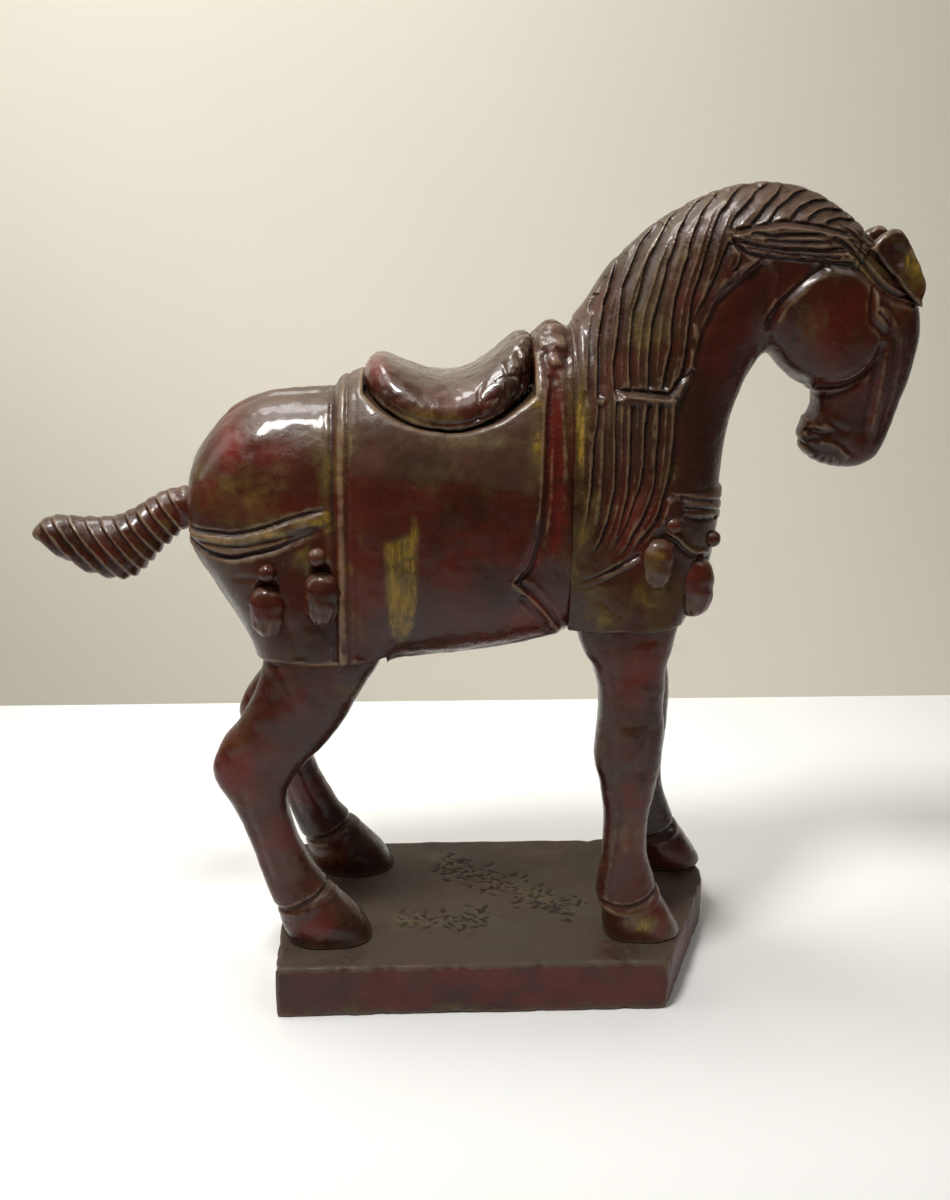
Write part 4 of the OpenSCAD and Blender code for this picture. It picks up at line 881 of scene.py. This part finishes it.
# ---------------------------------------------------------------- saddle, tail, legs
def make_saddle():
    b = Block((-62, -33, 247), (13, 40, 290), 0.5)
    f = b.loft(SADDLE, 6, 150)
    seat = (np.hypot(b.X + 25, b.Z - 300.5) - 47.8)[:, None, :].astype(np.float32)
    f = smax(f, seat + 0 * f, 3.6)
    r = np.hypot(b.X + 25, b.Z - 300.5)
    rim = 0.55 * np.exp(-((r - 44.6) / 0.8) ** 2) * step(-58, -48, b.X) * (1 - step(-12, -2, b.X))
    f = f + rim[:, None, :].astype(np.float32)
    f = f + 0.3 * b.noise(7, 31) + 0.2 * b.noise(3.0, 32)
    rough = step(-12, 2, b.x)[:, None, None]
    f = f + rough * 0.5 * b.noise(2.6, 33)
    for p, d in (([(-15, 256), (-12.6, 261), (-13.6, 266), (-11, 270)], 0.5), ([(-9, 260), (-5, 264), (-3.4, 270), (-4.4, 276)], 0.6), ([(-2, 261), (1.6, 266), (2.4, 273), (1, 280)], 0.6),
                 ([(-4, 256.4), (2, 259), (6, 265), (7.6, 272)], 0.5), ([(-8, 270), (-3, 271.6), (3, 270.6), (7, 272.6)], 0.45), ([(-12, 263), (-7, 264.4), (-2, 262.8)], 0.4)):
        b.cut(p, d, 1.0, 1.0, (1, 2))
    f = f + b.relief()
    # the dust blob lays dust and a painted sheen
    for a in (("gold", -36, 259, 18, 6, 0.62), ("gold", -30, 253.5, 30, 2.6, 0.5), ("gold", -52, 262, 6, 7, 0.3), ("red", -54, 275, 6, 5, 1.0), ("red", -20, 262, 20, 6, 0.3),
              ("dust_and_sheen", -2, 280, 8, 8, 0.3)):
        b.blob(*a)
    ob = build("saddle_carved", b, f)
    co = np.empty(len(ob.data.vertices) * 3, np.float32)
    ob.data.vertices.foreach_get("co", co)
    p = co.reshape(-1, 3)
    t = step(-20, 6, p[:, 0] / MM)
    p[:, 2] += 2.0 * MM * t
    p[:, 0] += 1.4 * MM * t
    ob.data.vertices.foreach_set("co", p.ravel())
    ob.data.update()
    return ob


def make_tail():
    b = Block((-202, -9, 180), (-100, 16, 227), 0.5)
    f = b.loft(TAIL, 6, 110)
    # slanting ribs either side of a raised spine
    rows = rows_of(TAIL, 6)
    top = np.interp(b.x, rows[::-1, 0], rows[::-1, 1])
    bot = np.interp(b.x, rows[::-1, 2], rows[::-1, 3])
    u = np.clip((b.Z - bot[:, None]) / np.maximum(top - bot, 1)[:, None], 0, 1)
    phase = (b.X * 0.80 + b.Z * 0.60) / 5.0
    saw = phase - np.floor(phase)
    rib = 1.9 * np.minimum(1, np.minimum(saw / 0.26, (1 - saw) / 0.74)) ** 0.85
    shallow = (0.35 + 0.65 * (1 - step(0.72, 0.98, u))) * step(-199, -188, b.X)
    f = f + (1.5 - rib * shallow)[:, None, :].astype(np.float32) * step(-133, -138, b.X)[:, None, :] * 1.0
    f = f + 0.25 * b.noise(4, 41) + 0.12 * b.noise(2.2, 42)
    # keep the root clear of the socket, and the tenon
    f = smax(f, (b.x + 129.6)[:, None, None] + 0 * f, 0.8)
    rr = np.hypot(b.y[None, :, None] - MID, b.z[None, None, :] - 214) + 0 * b.x[:, None, None]
    f = np.maximum(f, np.where((b.x > -133)[:, None, None], rr - 9.4, -9))
    pin = np.maximum(rr - 4.9, np.maximum(-136 - b.x, b.x + 105)[:, None, None])
    f = smin(f, pin, 0.6)
    for a in (("gold", -185, 205, 14, 8, 0.2), ("red", -165, 195, 25, 12, 0.5), ("red", -140, 208, 10, 10, 0.6)):
        b.blob(*a)
    return build("tail_carved", b, f)


def make_leg(name, st, top, tx, dx, flip, hind, seed):
    lean = lambda z: tx + (dx - tx) * (top - z) / (top - 25)
    x0, x1 = min(r[0] for r in st) + min(tx, dx) - 4, max(r[1] for r in st) + max(tx, dx) + 4
    y0, y1 = (9, 46) if flip else (-42, -3)
    b = Block((x0, y0, 23), (x1, y1, top + 3), 0.62)
    f = leg_field(b, [([-98, -60, top + 10, 12, -22] if hind else [29, 71, top + 8, 12.5, -20.5])] + st
                  + [([-95, -58, 21, 13.4, -26] if hind else [45.4, 80, 21, 13.4, -26])], top, tx, dx, flip)
    move = lambda pts: [(x + lean(z), z) for x, z in pts]
    if hind:
        b.cut(beyond(move([(-99, 42), (-93.5, 43), (-87, 46), (-80, 50), (-74, 53)]), 3, 3), 1.3, 2.0, 1.1, (0, 0))
        b.rib(beyond(move([(-99, 39), (-93, 39.6), (-86.4, 42.4), (-79, 46), (-72, 48)]), 3, 3), 0.3, 1.4, (0, 0))
        b.cut(move([(-90, 92), (-94.5, 80), (-92.5, 66), (-88, 56)]), 0.0, 1, 1)
        b.cut(move([(-112, 104), (-110.5, 92), (-106.5, 78), (-102.5, 62), (-99, 52)]), 0.7, 3.4, 1.3, (5, 6))
        b.rib(move([(-100, 100), (-99.5, 88), (-96, 72), (-91, 58)]), 0.5, 3.2, (5, 6))
        b.cut(move([(-84, 134), (-90, 124), (-97, 115), (-105, 108)]), 0.5, 4.0, 1.4, (6, 6))
        b.rib(move([(-100, 150), (-104, 138), (-110, 127), (-117, 117)]), 0.6, 3.5, (6, 5))
        b.cut(move([(-95, 158), (-90, 146), (-86, 134)]), 0.4, 4, 1.4, (0, 6))
    else:
        b.cut(beyond(move([(44.5, 42.4), (50.5, 41.8), (56, 42.4), (62, 44.6), (68, 48)]), 3, 4), 1.3, 2.0, 1.1, (0, 0))
        b.rib(beyond(move([(44, 39), (50, 38.4), (56.4, 39), (63, 41.2), (71, 45.4)]), 3, 4), 0.3, 1.4, (0, 0))
        b.cut(move([(50.4, 98), (49.8, 86), (49, 73), (48, 61.5), (46.6, 50), (46.4, 43)]), 0.8, 2.0, 1.2, (10, 1))
        b.rib(move([(54.5, 96), (54, 84), (53.2, 70), (52, 56)]), 0.6, 2.6, (6, 6))
        b.rib(move([(52, 128), (52.5, 118), (52, 108)]), 0.9, 7.0, (5, 5))
        b.cut(move([(43.5, 126), (44.4, 114), (44, 104)]), 0.6, 3.2, 1.3, (5, 5))
        b.cut(move([(60.6, 128), (59.8, 114), (58, 102)]), 0.5, 3.2, 1.3, (5, 5))
        b.cut(move([(40, 165), (43, 152), (45, 140)]), 0.5, 4.2, 1.4, (3, 6))
        b.rib(move([(56, 166), (56, 150), (54, 138)]), 0.5, 5.0, (3, 6))
    f = f + b.relief()
    f = f + 0.34 * b.noise(8.5, seed) + 0.12 * b.noise(3.2, seed + 1)
    f = smax(f, (b.z - top - 1.3)[None, None, :] + 0 * f, 0.3)
    f = smax(f, (24.95 - b.z)[None, None, :] + 0 * f, 0.6)
    for x, z, rx, rz, v in ([(-95, 36, 12, 5, 0.3), (-104, 110, 14, 10, 0.15), (-70, 150, 12, 8, 0.2)] if hind else [(60, 34, 9, 6, 0.85), (50, 140, 10, 12, 0.15), (60, 72, 8, 10, 0.2)]):
        b.blob("gold", x + lean(z), z, rx, rz, v * (0.6 if flip else 1))
    for x, z, rx, rz, v in ([(-112, 112, 16, 18, 0.8), (-85, 34, 14, 7, 0.9), (-90, 145, 16, 14, 0.7), (-98, 72, 12, 20, 0.6)] if hind else [(56, 90, 12, 34, 0.8), (66, 34, 10, 8, 0.7), (56, 150, 12, 14, 0.8)]):
        b.blob("red", x + lean(z), z, rx, rz, v)
    b.maps["dust_and_sheen"] = np.maximum(b.maps["dust_and_sheen"], (0.5 * (1 - step(26, 30, b.Z))).astype(np.float32))
    return build(name, b, f)


# ---------------------------------------------------------------- slab
def make_base():
    b = Block((-103, -56, -1.5), (104, 56, 28), 0.78)
    poly = np.array([(-100, -52.5), (71, -52.5), (100, 15), (100, 52.5), (-100, 52.5)], float)
    X, Y = np.meshgrid(b.x, b.y, indexing="ij")
    inside = np.zeros(X.shape, bool)
    d = np.full(X.shape, 1e9)
    for i in range(len(poly)):
        p, q = poly[i], poly[(i + 1) % len(poly)]
        if p[1] != q[1]:
            inside ^= ((p[1] > Y) != (q[1] > Y)) & (X < (q[0] - p[0]) * (Y - p[1]) / (q[1] - p[1]) + p[0])
        v = q - p
        t = np.clip(((X - p[0]) * v[0] + (Y - p[1]) * v[1]) / (v @ v), 0, 1)
        d = np.minimum(d, np.hypot(X - p[0] - t * v[0], Y - p[1] - t * v[1]))
    s = np.where(inside, -d, d).astype(np.float32)
    z = b.z[None, None, :]
    f = smax(s[:, :, None] + 0.35 + 0 * z, z - 24.75 + 0 * s[:, :, None], 1.7)
    f = smax(f, 0.02 - z + 0 * f, 1.2)
    n8, n3 = b.noise(9, 51), b.noise(3.4, 52)
    f = f + 0.28 * n8 + 0.12 * n3
    # long tool marks and gouges on the top
    rng = np.random.default_rng(7)
    top = np.zeros(X.shape, np.float32)
    for i in range(330):
        t, s_ = rng.random(), rng.normal(0, 1)
        cx, cy = (-26 + 62 * t + 3 * s_, 34 - 46 * t + 4.5 * s_) if i < 230 else (rng.uniform(-46, -6), -18 + rng.normal(0, 4))
        a = rng.choice([-0.65, 0.9, 0.1]) + rng.normal(0, 0.15)
        ln, wd, dp = rng.uniform(1.6, 4.6), rng.uniform(0.75, 1.2), rng.uniform(0.5, 1.3)
        u = (X - cx) * math.cos(a) + (Y - cy) * math.sin(a)
        w = -(X - cx) * math.sin(a) + (Y - cy) * math.cos(a)
        top = np.maximum(top, dp * np.clip(1 - (u / ln) ** 2 - (w / wd) ** 2, 0, 1))
    for cx, cy, ln, wd, dp in ((-8, 22, 26, 9, 0.35), (16, 2, 20, 8, 0.4), (-26, -18, 24, 7, 0.35), (40, -6, 6, 0.8, 1.1), (62, 24, 8, 0.8, 0.8)):
        u = (X - cx) * math.cos(-0.5) + (Y - cy) * math.sin(-0.5)
        w = -(X - cx) * math.sin(-0.5) + (Y - cy) * math.cos(-0.5)
        top = np.maximum(top, dp * np.clip(1 - (u / ln) ** 2 - (w / wd) ** 2, 0, 1) * (0.5 + 0.5 * n3[:, :, b.n[2] // 2]))
    f = f + (top[:, :, None] * step(18, 24, b.z)[None, None, :]).astype(np.float32)
    # a worn, dented rim, chips at the near edge
    chips = np.zeros(X.shape, np.float32)
    for _ in range(34):
        k = rng.integers(0, 5)
        p, q = poly[k], poly[(k + 1) % 5]
        c = p + (q - p) * rng.random()
        chips = np.maximum(chips, rng.uniform(0.3, 1.3) * np.exp(-((X - c[0]) ** 2 + (Y - c[1]) ** 2) / rng.uniform(1.2, 3.2) ** 2))
    f = f + (chips[:, :, None] * np.clip(step(16, 25, b.z) + 0.7 * (1 - step(0, 4, b.z)), 0, 1)[None, None, :]).astype(np.float32)
    f = np.maximum(f, 0.0 - z + 0 * f)
    ob = build("base_carved", b, f, polish=2)
    me = ob.data
    n = len(me.vertices)
    co = np.empty(n * 3, np.float32)
    me.vertices.foreach_get("co", co)
    p = co.reshape(-1, 3) / MM
    on_top = step(22, 24.2, p[:, 2])
    hoofs = [(-78, -26), (-70, 33), (61, -26), (81.5, 33)]
    # a dark ring round each hoof on the slab: grime and painted contact shade
    hoof_grime_and_shade = np.zeros(n)
    for x, y in hoofs:
        hoof_grime_and_shade = np.maximum(hoof_grime_and_shade, 1.2 * np.exp(-((np.hypot((p[:, 0] - x) / 1.25, p[:, 1] - y) - 14) / 4.5) ** 2))
    # the slab's top is paled as dust and a painted sheen, less towards its right end
    me.attributes["dust_and_sheen"].data.foreach_set("value", (0.4 * on_top * (1 - 0.8 * np.exp(-((p[:, 0] - 85) / 30) ** 2))).astype(np.float32))
    t = np.clip((p[:, 0] + 30) / 70, 0, 1)
    rubbed = np.exp(-((p[:, 0] + 30 - 70 * t) ** 2 + (p[:, 1] - 37 + 52 * t) ** 2) / 7.0 ** 2)
    rubbed = np.maximum(rubbed, np.exp(-((np.clip(np.abs(p[:, 0] + 26) - 20, 0, 99)) ** 2 + (p[:, 1] + 18) ** 2) / 6.0 ** 2))
    grime_and_shade = np.empty(n, np.float32)
    me.attributes["grime_and_shade"].data.foreach_get("value", grime_and_shade)
    # gouges on the top are darkened by their depth: grime and painted shade
    gouge_grime_and_shade = b.sample2(top, p[:, 0], p[:, 1])
    me.attributes["grime_and_shade"].data.foreach_set("value", np.clip(grime_and_shade + (0.45 * hoof_grime_and_shade + 0.75 * gouge_grime_and_shade) * on_top, 0, 1.3).astype(np.float32))
    me.attributes["red"].data.foreach_set("value", (0.8 * (1 - on_top) * np.exp(-((p[:, 0] - 10) / 110) ** 2)).astype(np.float32))
    me.attributes["gold"].data.foreach_set("value", np.maximum(0.42 * (1 - on_top) * np.exp(-((p[:, 2] - 3) / 3) ** 2), 0.85 * rubbed * on_top).astype(np.float32))
    return ob


# ---------------------------------------------------------------- ears and harness
def make_ear(name, flip):
    b = Block((-19, -9, -3), (19, 7, 14), 0.42)
    leaf = [(-15.2, -2.4), (-15.8, 2), (-15, 7), (-13.4, 10), (-10.5, 10.8), (-6, 10.4), (-1, 9.3), (5, 7.4), (10, 5.6), (12.8, 3.2), (14.6, 0.3), (15, -2.4)]
    p = curve(leaf + leaf[:1], 0.6)
    d = np.full(b.X.shape, 1e9, np.float32)
    for i in range(len(p) - 1):
        v = p[i + 1] - p[i]
        t = np.clip(((b.X - p[i][0]) * v[0] + (b.Z - p[i][1]) * v[1]) / (v @ v + 1e-12), 0, 1)
        d = np.minimum(d, np.hypot(b.X - p[i][0] - t * v[0], b.Z - p[i][1] - t * v[1]))
    s = d * (1 - 2 * b.inside(p, 0.01))
    half = (np.abs(b.y)[None, :, None] - 3.5 + 0.08 * np.maximum(b.Z, 0)[:, None, :]).astype(np.float32)
    f = smax(s[:, None, :] + 0 * half, half, 2.2)
    # hollow on the outer side, and a crease
    f = smax(f, -(np.sqrt(((b.x + 4.5) / 1.7)[:, None, None] ** 2 + (b.y + 7.2)[None, :, None] ** 2 + (((b.z - 4.6) / 1.0) ** 2)[None, None, :]) - 5.4), 1.1)
    f = f + 0.2 * b.noise(4, 61) + 0.1 * b.noise(2, 62)
    f = np.maximum(f, (-2.5 - b.z)[None, None, :] + 0 * f)
    b.blob("gold", 0, 6, 14, 6, 0.8)
    b.blob("red", 8, 2, 7, 5, 0.7)
    ob = build(name, b, f)
    n = len(ob.data.vertices)
    co = np.empty(n * 3, np.float32)
    ob.data.vertices.foreach_get("co", co)
    q = co.reshape(-1, 3) / MM
    c = math.sqrt(0.5)
    w = np.stack([152.5 + c * (q[:, 0] + q[:, 2]), q[:, 1] - 6, 311.5 + c * (q[:, 2] - q[:, 0])], 1)
    if flip:
        w[:, 1] = 2 * MID - w[:, 1]
        ob.data.flip_normals()
    ob.data.vertices.foreach_set("co", (w * MM).astype(np.float32).ravel())
    ob.data.update()
    return ob


def joined(name, pieces, maps):
    pts, quads, off = [], [], 0
    attrs = {k: [] for k in ("grime_and_shade", "worn_edge_and_highlight", "gold", "red", "dust_and_sheen")}
    for p, q, grime_and_shade, worn_edge_and_highlight in pieces:
        pts.append(p)
        quads.append(q + off)
        off += len(p)
        attrs["grime_and_shade"].append(grime_and_shade)
        attrs["worn_edge_and_highlight"].append(worn_edge_and_highlight)
        for k in ("gold", "red", "dust_and_sheen"):
            attrs[k].append(np.full(len(p), maps.get(k, 0.0)))
    pts, quads = np.concatenate(pts), np.concatenate(quads)
    attrs = {k: np.concatenate(v) for k, v in attrs.items()}
    deg = quads[:, 2] == quads[:, 3]
    return to_object(name, pts, quads[~deg], quads[deg][:, :3], attrs)


def turned(profile, m, shape, k=4):
    """Closed turned shape round the Z axis; shape(a, t, r, z) may push it in and out. Poles are single points."""
    rows = curve(profile, 0.5)
    n = len(rows)
    a = 2 * np.pi * np.arange(m) / m
    A, T = np.meshgrid(a, np.linspace(0, 1, n))
    R, Z = np.repeat(rows[:, :1], m, 1), np.repeat(rows[:, 1:], m, 1)
    R = np.maximum(R, 0.02)
    R2, grime_and_shade, worn_edge_and_highlight = shape(A, T, R, Z)
    pts = np.stack([R2 * np.cos(A), R2 * np.sin(A), Z], -1).reshape(-1, 3)
    i, j = np.arange(n - 1)[:, None] * m, np.arange(m)[None]
    j2 = (j + 1) % m
    q = np.stack([i + j, i + j2, i + m + j2, i + m + j], -1).reshape(-1, 4)
    top, bot = len(pts), len(pts) + 1
    pts = np.vstack([pts, [[0, 0, rows[0, 1]]], [[0, 0, rows[-1, 1]]]])
    jj = np.arange(m)
    q = np.vstack([q, np.stack([np.full(m, top), (jj + 1) % m, jj, jj], 1), np.stack([np.full(m, bot), (n - 1) * m + jj, (n - 1) * m + (jj + 1) % m, (n - 1) * m + (jj + 1) % m], 1)])
    add = lambda v: np.concatenate([np.broadcast_to(v, A.shape).ravel(), [0, 0]])
    return pts, q, add(grime_and_shade), add(worn_edge_and_highlight)


def make_tassels(name, places, seed):
    rng = np.random.default_rng(seed)
    out = []
    for x, y, z, big in places:
        phase, wob = rng.uniform(0, 6.28), rng.uniform(0.9, 1.0)

        def shape(A, T, R, Z):
            low = (1 - step(-4.5, 3.0, Z))
            w = np.abs(np.sin(5.0 * A + phase + 0.3 * np.sin(Z * 0.5)))
            cutl = low * (1 - w) ** 2.6
            r = R * (1 - 0.1 * cutl) + 0.14 * np.sin(3 * A + Z * 0.6) * step(0.5, 3, R) + 0.1 * np.sin(2 * A + 1.1 * Z)
            # the cuts of the lower skirt are darkened as grime and painted shade
            return r, np.clip(cutl * 0.9, 0, 1), np.clip(low * w ** 5 * 0.6 + 0.15, 0, 1)

        prof = [(0.02, 11), (1.9, 10.8), (3.9, 10.1), (5.7, 8.4), (6.9, 5.8), (7.3, 3.2), (7.35, 0.6), (7.2, -2.2), (6.7, -5), (5.7, -7.6), (4.3, -9.5), (2.3, -10.7), (0.02, -11)]
        pts, q, grime_and_shade, worn_edge_and_highlight = turned(prof, 56, shape)
        p = pts * big
        p[:, 1] = p[:, 1] * 0.9 * wob
        tilt = rng.uniform(-0.08, 0.08)
        px = p[:, 0] * math.cos(tilt) - p[:, 2] * math.sin(tilt)
        pz = p[:, 0] * math.sin(tilt) + p[:, 2] * math.cos(tilt)
        for side in (1, -1):
            w = np.stack([x + px, (y - 1.0 + p[:, 1]) if side == 1 else 2 * MID - (y - 1.0 + p[:, 1]), z + pz], 1)
            out.append((w, flip(q, side), grime_and_shade, worn_edge_and_highlight))
    return joined(name, out, {"gold": 0.36, "red": 0.4})


def flip(q, side):
    if side == 1:
        return q
    r = q.copy()
    r[:, 1], r[:, 3] = q[:, 3].copy(), q[:, 1].copy()
    deg = q[:, 2] == q[:, 3]
    r[deg] = np.stack([q[deg, 0], q[deg, 2], q[deg, 1], q[deg, 1]], 1)
    return r


def make_beads(name, places, seed):
    rng = np.random.default_rng(seed)
    out = []
    for x, y, z in places:
        prof = [(0.02 + 3.65 * math.sin(t), 3.65 * math.cos(t)) for t in np.linspace(0, math.pi, 14)]

        def shape(A, T, R, Z):
            return R * (1 + 0.03 * np.sin(2 * A + 1) + 0.02 * np.sin(5 * A + Z)), 0 * A, 0.25 + 0 * A

        pts, q, grime_and_shade, worn_edge_and_highlight = turned(prof, 40, shape)
        for side in (1, -1):
            yy = y - 2.2 + pts[:, 1]
            w = np.stack([x + pts[:, 0], yy if side == 1 else 2 * MID - yy, z + pts[:, 2]], 1)
            out.append((w, flip(q, side), grime_and_shade, worn_edge_and_highlight))
    return joined(name, out, {"gold": 0.25, "red": 0.35})


place(make_torso(), "torso", "horse", "lacquered_wood")
place(make_neck(), "neck_and_head", "horse", "lacquered_wood")
place(make_saddle(), "saddle", "horse", "saddle_lacquer")
place(make_tail(), "tail", "tail", "lacquered_wood")
place(make_leg("foreleg_right_carved", FORE, 170, 0, 0, False, False, 71), "foreleg_right", "horse", "lacquered_wood")
place(make_leg("foreleg_left_carved", FORE, 170, 8, 21.5, True, False, 73), "foreleg_left", "horse", "lacquered_wood")
place(make_leg("hindleg_right_carved", HIND, 158, 0, 0, False, True, 75), "hindleg_right", "horse", "lacquered_wood")
place(make_leg("hindleg_left_carved", HIND, 158, 2, 9, True, True, 77), "hindleg_left", "horse", "lacquered_wood")
place(make_base(), "base", "horse", "slab_wood")
place(make_ear("ear_right_carved", False), "ear_right", "horse", "gilded_wood")
place(make_ear("ear_left_carved", True), "ear_left", "horse", "gilded_wood")
place(make_tassels("rump_tassels_carved", [(-97.5, -31.3, 180.5, 0.98), (-75.5, -33.3, 186.5, 1.0)], 81), "rump_tassels", "horse", "gilded_wood")
place(make_tassels("chest_tassels_carved", [(59.0, -25.5, 197.5, 1.0), (77, -16.0, 185.0, 1.22)], 82), "chest_tassels", "horse", "gilded_wood")
place(make_beads("rump_beads_turned", [(-97, -31.8, 197.5), (-77, -33.8, 204.5)], 83), "rump_beads", "horse", "gilded_wood")
place(make_beads("chest_beads_turned", [(65.5, -22.5, 213.5), (84, -13.5, 205)], 84), "chest_beads", "horse", "gilded_wood")
for node in ("leg_dowels", "hoof_pegs", "neck_dowels", "saddle_pegs"):
    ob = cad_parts[node]
    ob.data.materials.clear()
    ob.data.materials.append(FINISH["bare_wood"])

# ---------------------------------------------------------------- stage
def plain(name, colour, rough, scale, amount, fade=None):
    n = Nodes(name)
    big = n.noise(scale, 4, 0.5)
    c = n.mix(n.ramp(big, 0.3, 0.7), colour, tuple([v * (1 - amount) for v in colour[:3]] + [1.0]))
    if fade:
        # painted shade on the backdrop: it darkens towards its foot, most towards the lower left, and towards the right
        at = n.new("ShaderNodeSeparateXYZ")
        n.link(n.tex.outputs["Object"], at.inputs[0])
        s = n.math("ADD", at.outputs[2], n.math("MULTIPLY", at.outputs[0], 0.45))
        c = n.mix(n.ramp(s, *fade), c, tuple([v * 0.6 for v in colour[:3]] + [1.0]))
        c = n.mix(n.ramp(at.outputs[0], 0.1, 0.55, 0.0, 0.38), c, tuple([v * 0.6 for v in colour[:3]] + [1.0]))
    r = n.math("ADD", n.math("MULTIPLY", big, 0.1), rough)
    return n.shader(c, r, n.bump(n.noise(scale * 8, 3), 0.05, 0.001), spec=0.3)


def sheet(name, corners, mat):
    me = bpy.data.meshes.new(name)
    me.from_pydata(corners, [], [(0, 1, 2, 3)])
    me.materials.append(mat)
    ob = bpy.data.objects.new(name, me)
    bpy.context.scene.collection.objects.link(ob)
    return ob


floor = sheet("floor", [(-2.5, -2.5, 0), (2.5, -2.5, 0), (2.5, 2.5, 0), (-2.5, 2.5, 0)], plain("floor_white", lin(231, 231, 229), 0.6, 3, 0.02))
# the wall's colour carries painted shade, darker low down and to the right
wall = sheet("wall", [(-2.5, 0.277, -0.02), (2.5, 0.277, -0.02), (2.5, 0.277, 2.6), (-2.5, 0.277, 2.6)], plain("wall_pale_painted_shade", lin(234, 229, 215), 0.8, 4, 0.03, (-0.17, 0.25, 1.0, 0.0)))


def one_sided(mat):
    """The backdrop has a front only, so it doesn't stand between the object and a view from behind."""
    t = mat.node_tree
    out = next(x for x in t.nodes if x.type == "OUTPUT_MATERIAL")
    front = out.inputs["Surface"].links[0].from_socket
    side = t.nodes.new("ShaderNodeNewGeometry")
    clear = t.nodes.new("ShaderNodeBsdfTransparent")
    pick = t.nodes.new("ShaderNodeMixShader")
    t.links.new(side.outputs["Backfacing"], pick.inputs[0])
    t.links.new(front, pick.inputs[1])
    t.links.new(clear.outputs[0], pick.inputs[2])
    t.links.new(pick.outputs[0], out.inputs["Surface"])


one_sided(wall.data.materials[0])


def lamp(name, place_, aim, size, power, spread, colour=(1.0, 0.985, 0.96)):
    d = bpy.data.lights.new(name, "AREA")
    d.shape = "DISK"
    d.size = size
    d.energy = power
    d.color = colour
    d.spread = math.radians(spread)
    ob = bpy.data.objects.new(name, d)
    ob.location = place_
    ob.rotation_euler = (Vector(aim) - Vector(place_)).to_track_quat("-Z", "Y").to_euler()
    bpy.context.scene.collection.objects.link(ob)
    return ob


lamp("ceiling", (-0.34, -0.38, 1.3), (-0.05, 0.12, 0.1), 0.26, 2.5, 75)
lamp("ceiling_left", (-1.0, 0.0, 0.95), (0.05, 0.0, 0.1), 0.7, 1.5, 120)
lamp("ceiling_back", (-0.25, 0.14, 0.94), (-0.06, 0.1, 0.2), 0.3, 2.25, 130)
lamp("room_right", (0.75, -0.45, 1.2), (0.05, 0.05, 0.05), 0.7, 0.7, 90)
world = bpy.data.worlds.new("room_air")
world.use_nodes = True
world.node_tree.nodes["Background"].inputs[0].default_value = (1.0, 0.97, 0.92, 1)
world.node_tree.nodes["Background"].inputs[1].default_value = 0.06
bpy.context.scene.world = world
bpy.context.scene.view_settings.view_transform = "Standard"

cam = bpy.data.cameras.new("camera")
cam.lens = 39.0
cam.sensor_width = 36.0
cam.sensor_fit = "AUTO"
cam.clip_start = 0.01
cob = bpy.data.objects.new("camera", cam)
R = np.array([0.99876222, -0.04875643, 0.00984026])
U = np.array([0.00744154, 0.34208074, 0.9396411])
F = np.array([0.04917971, 0.9384048, -0.34202014])
cob.matrix_world = Matrix([[R[0], U[0], -F[0], -0.0401656], [R[1], U[1], -F[1], -0.5232039], [R[2], U[2], -F[2], 0.3638199], [0, 0, 0, 1]])
bpy.context.scene.collection.objects.link(cob)
bpy.context.scene.camera = cob
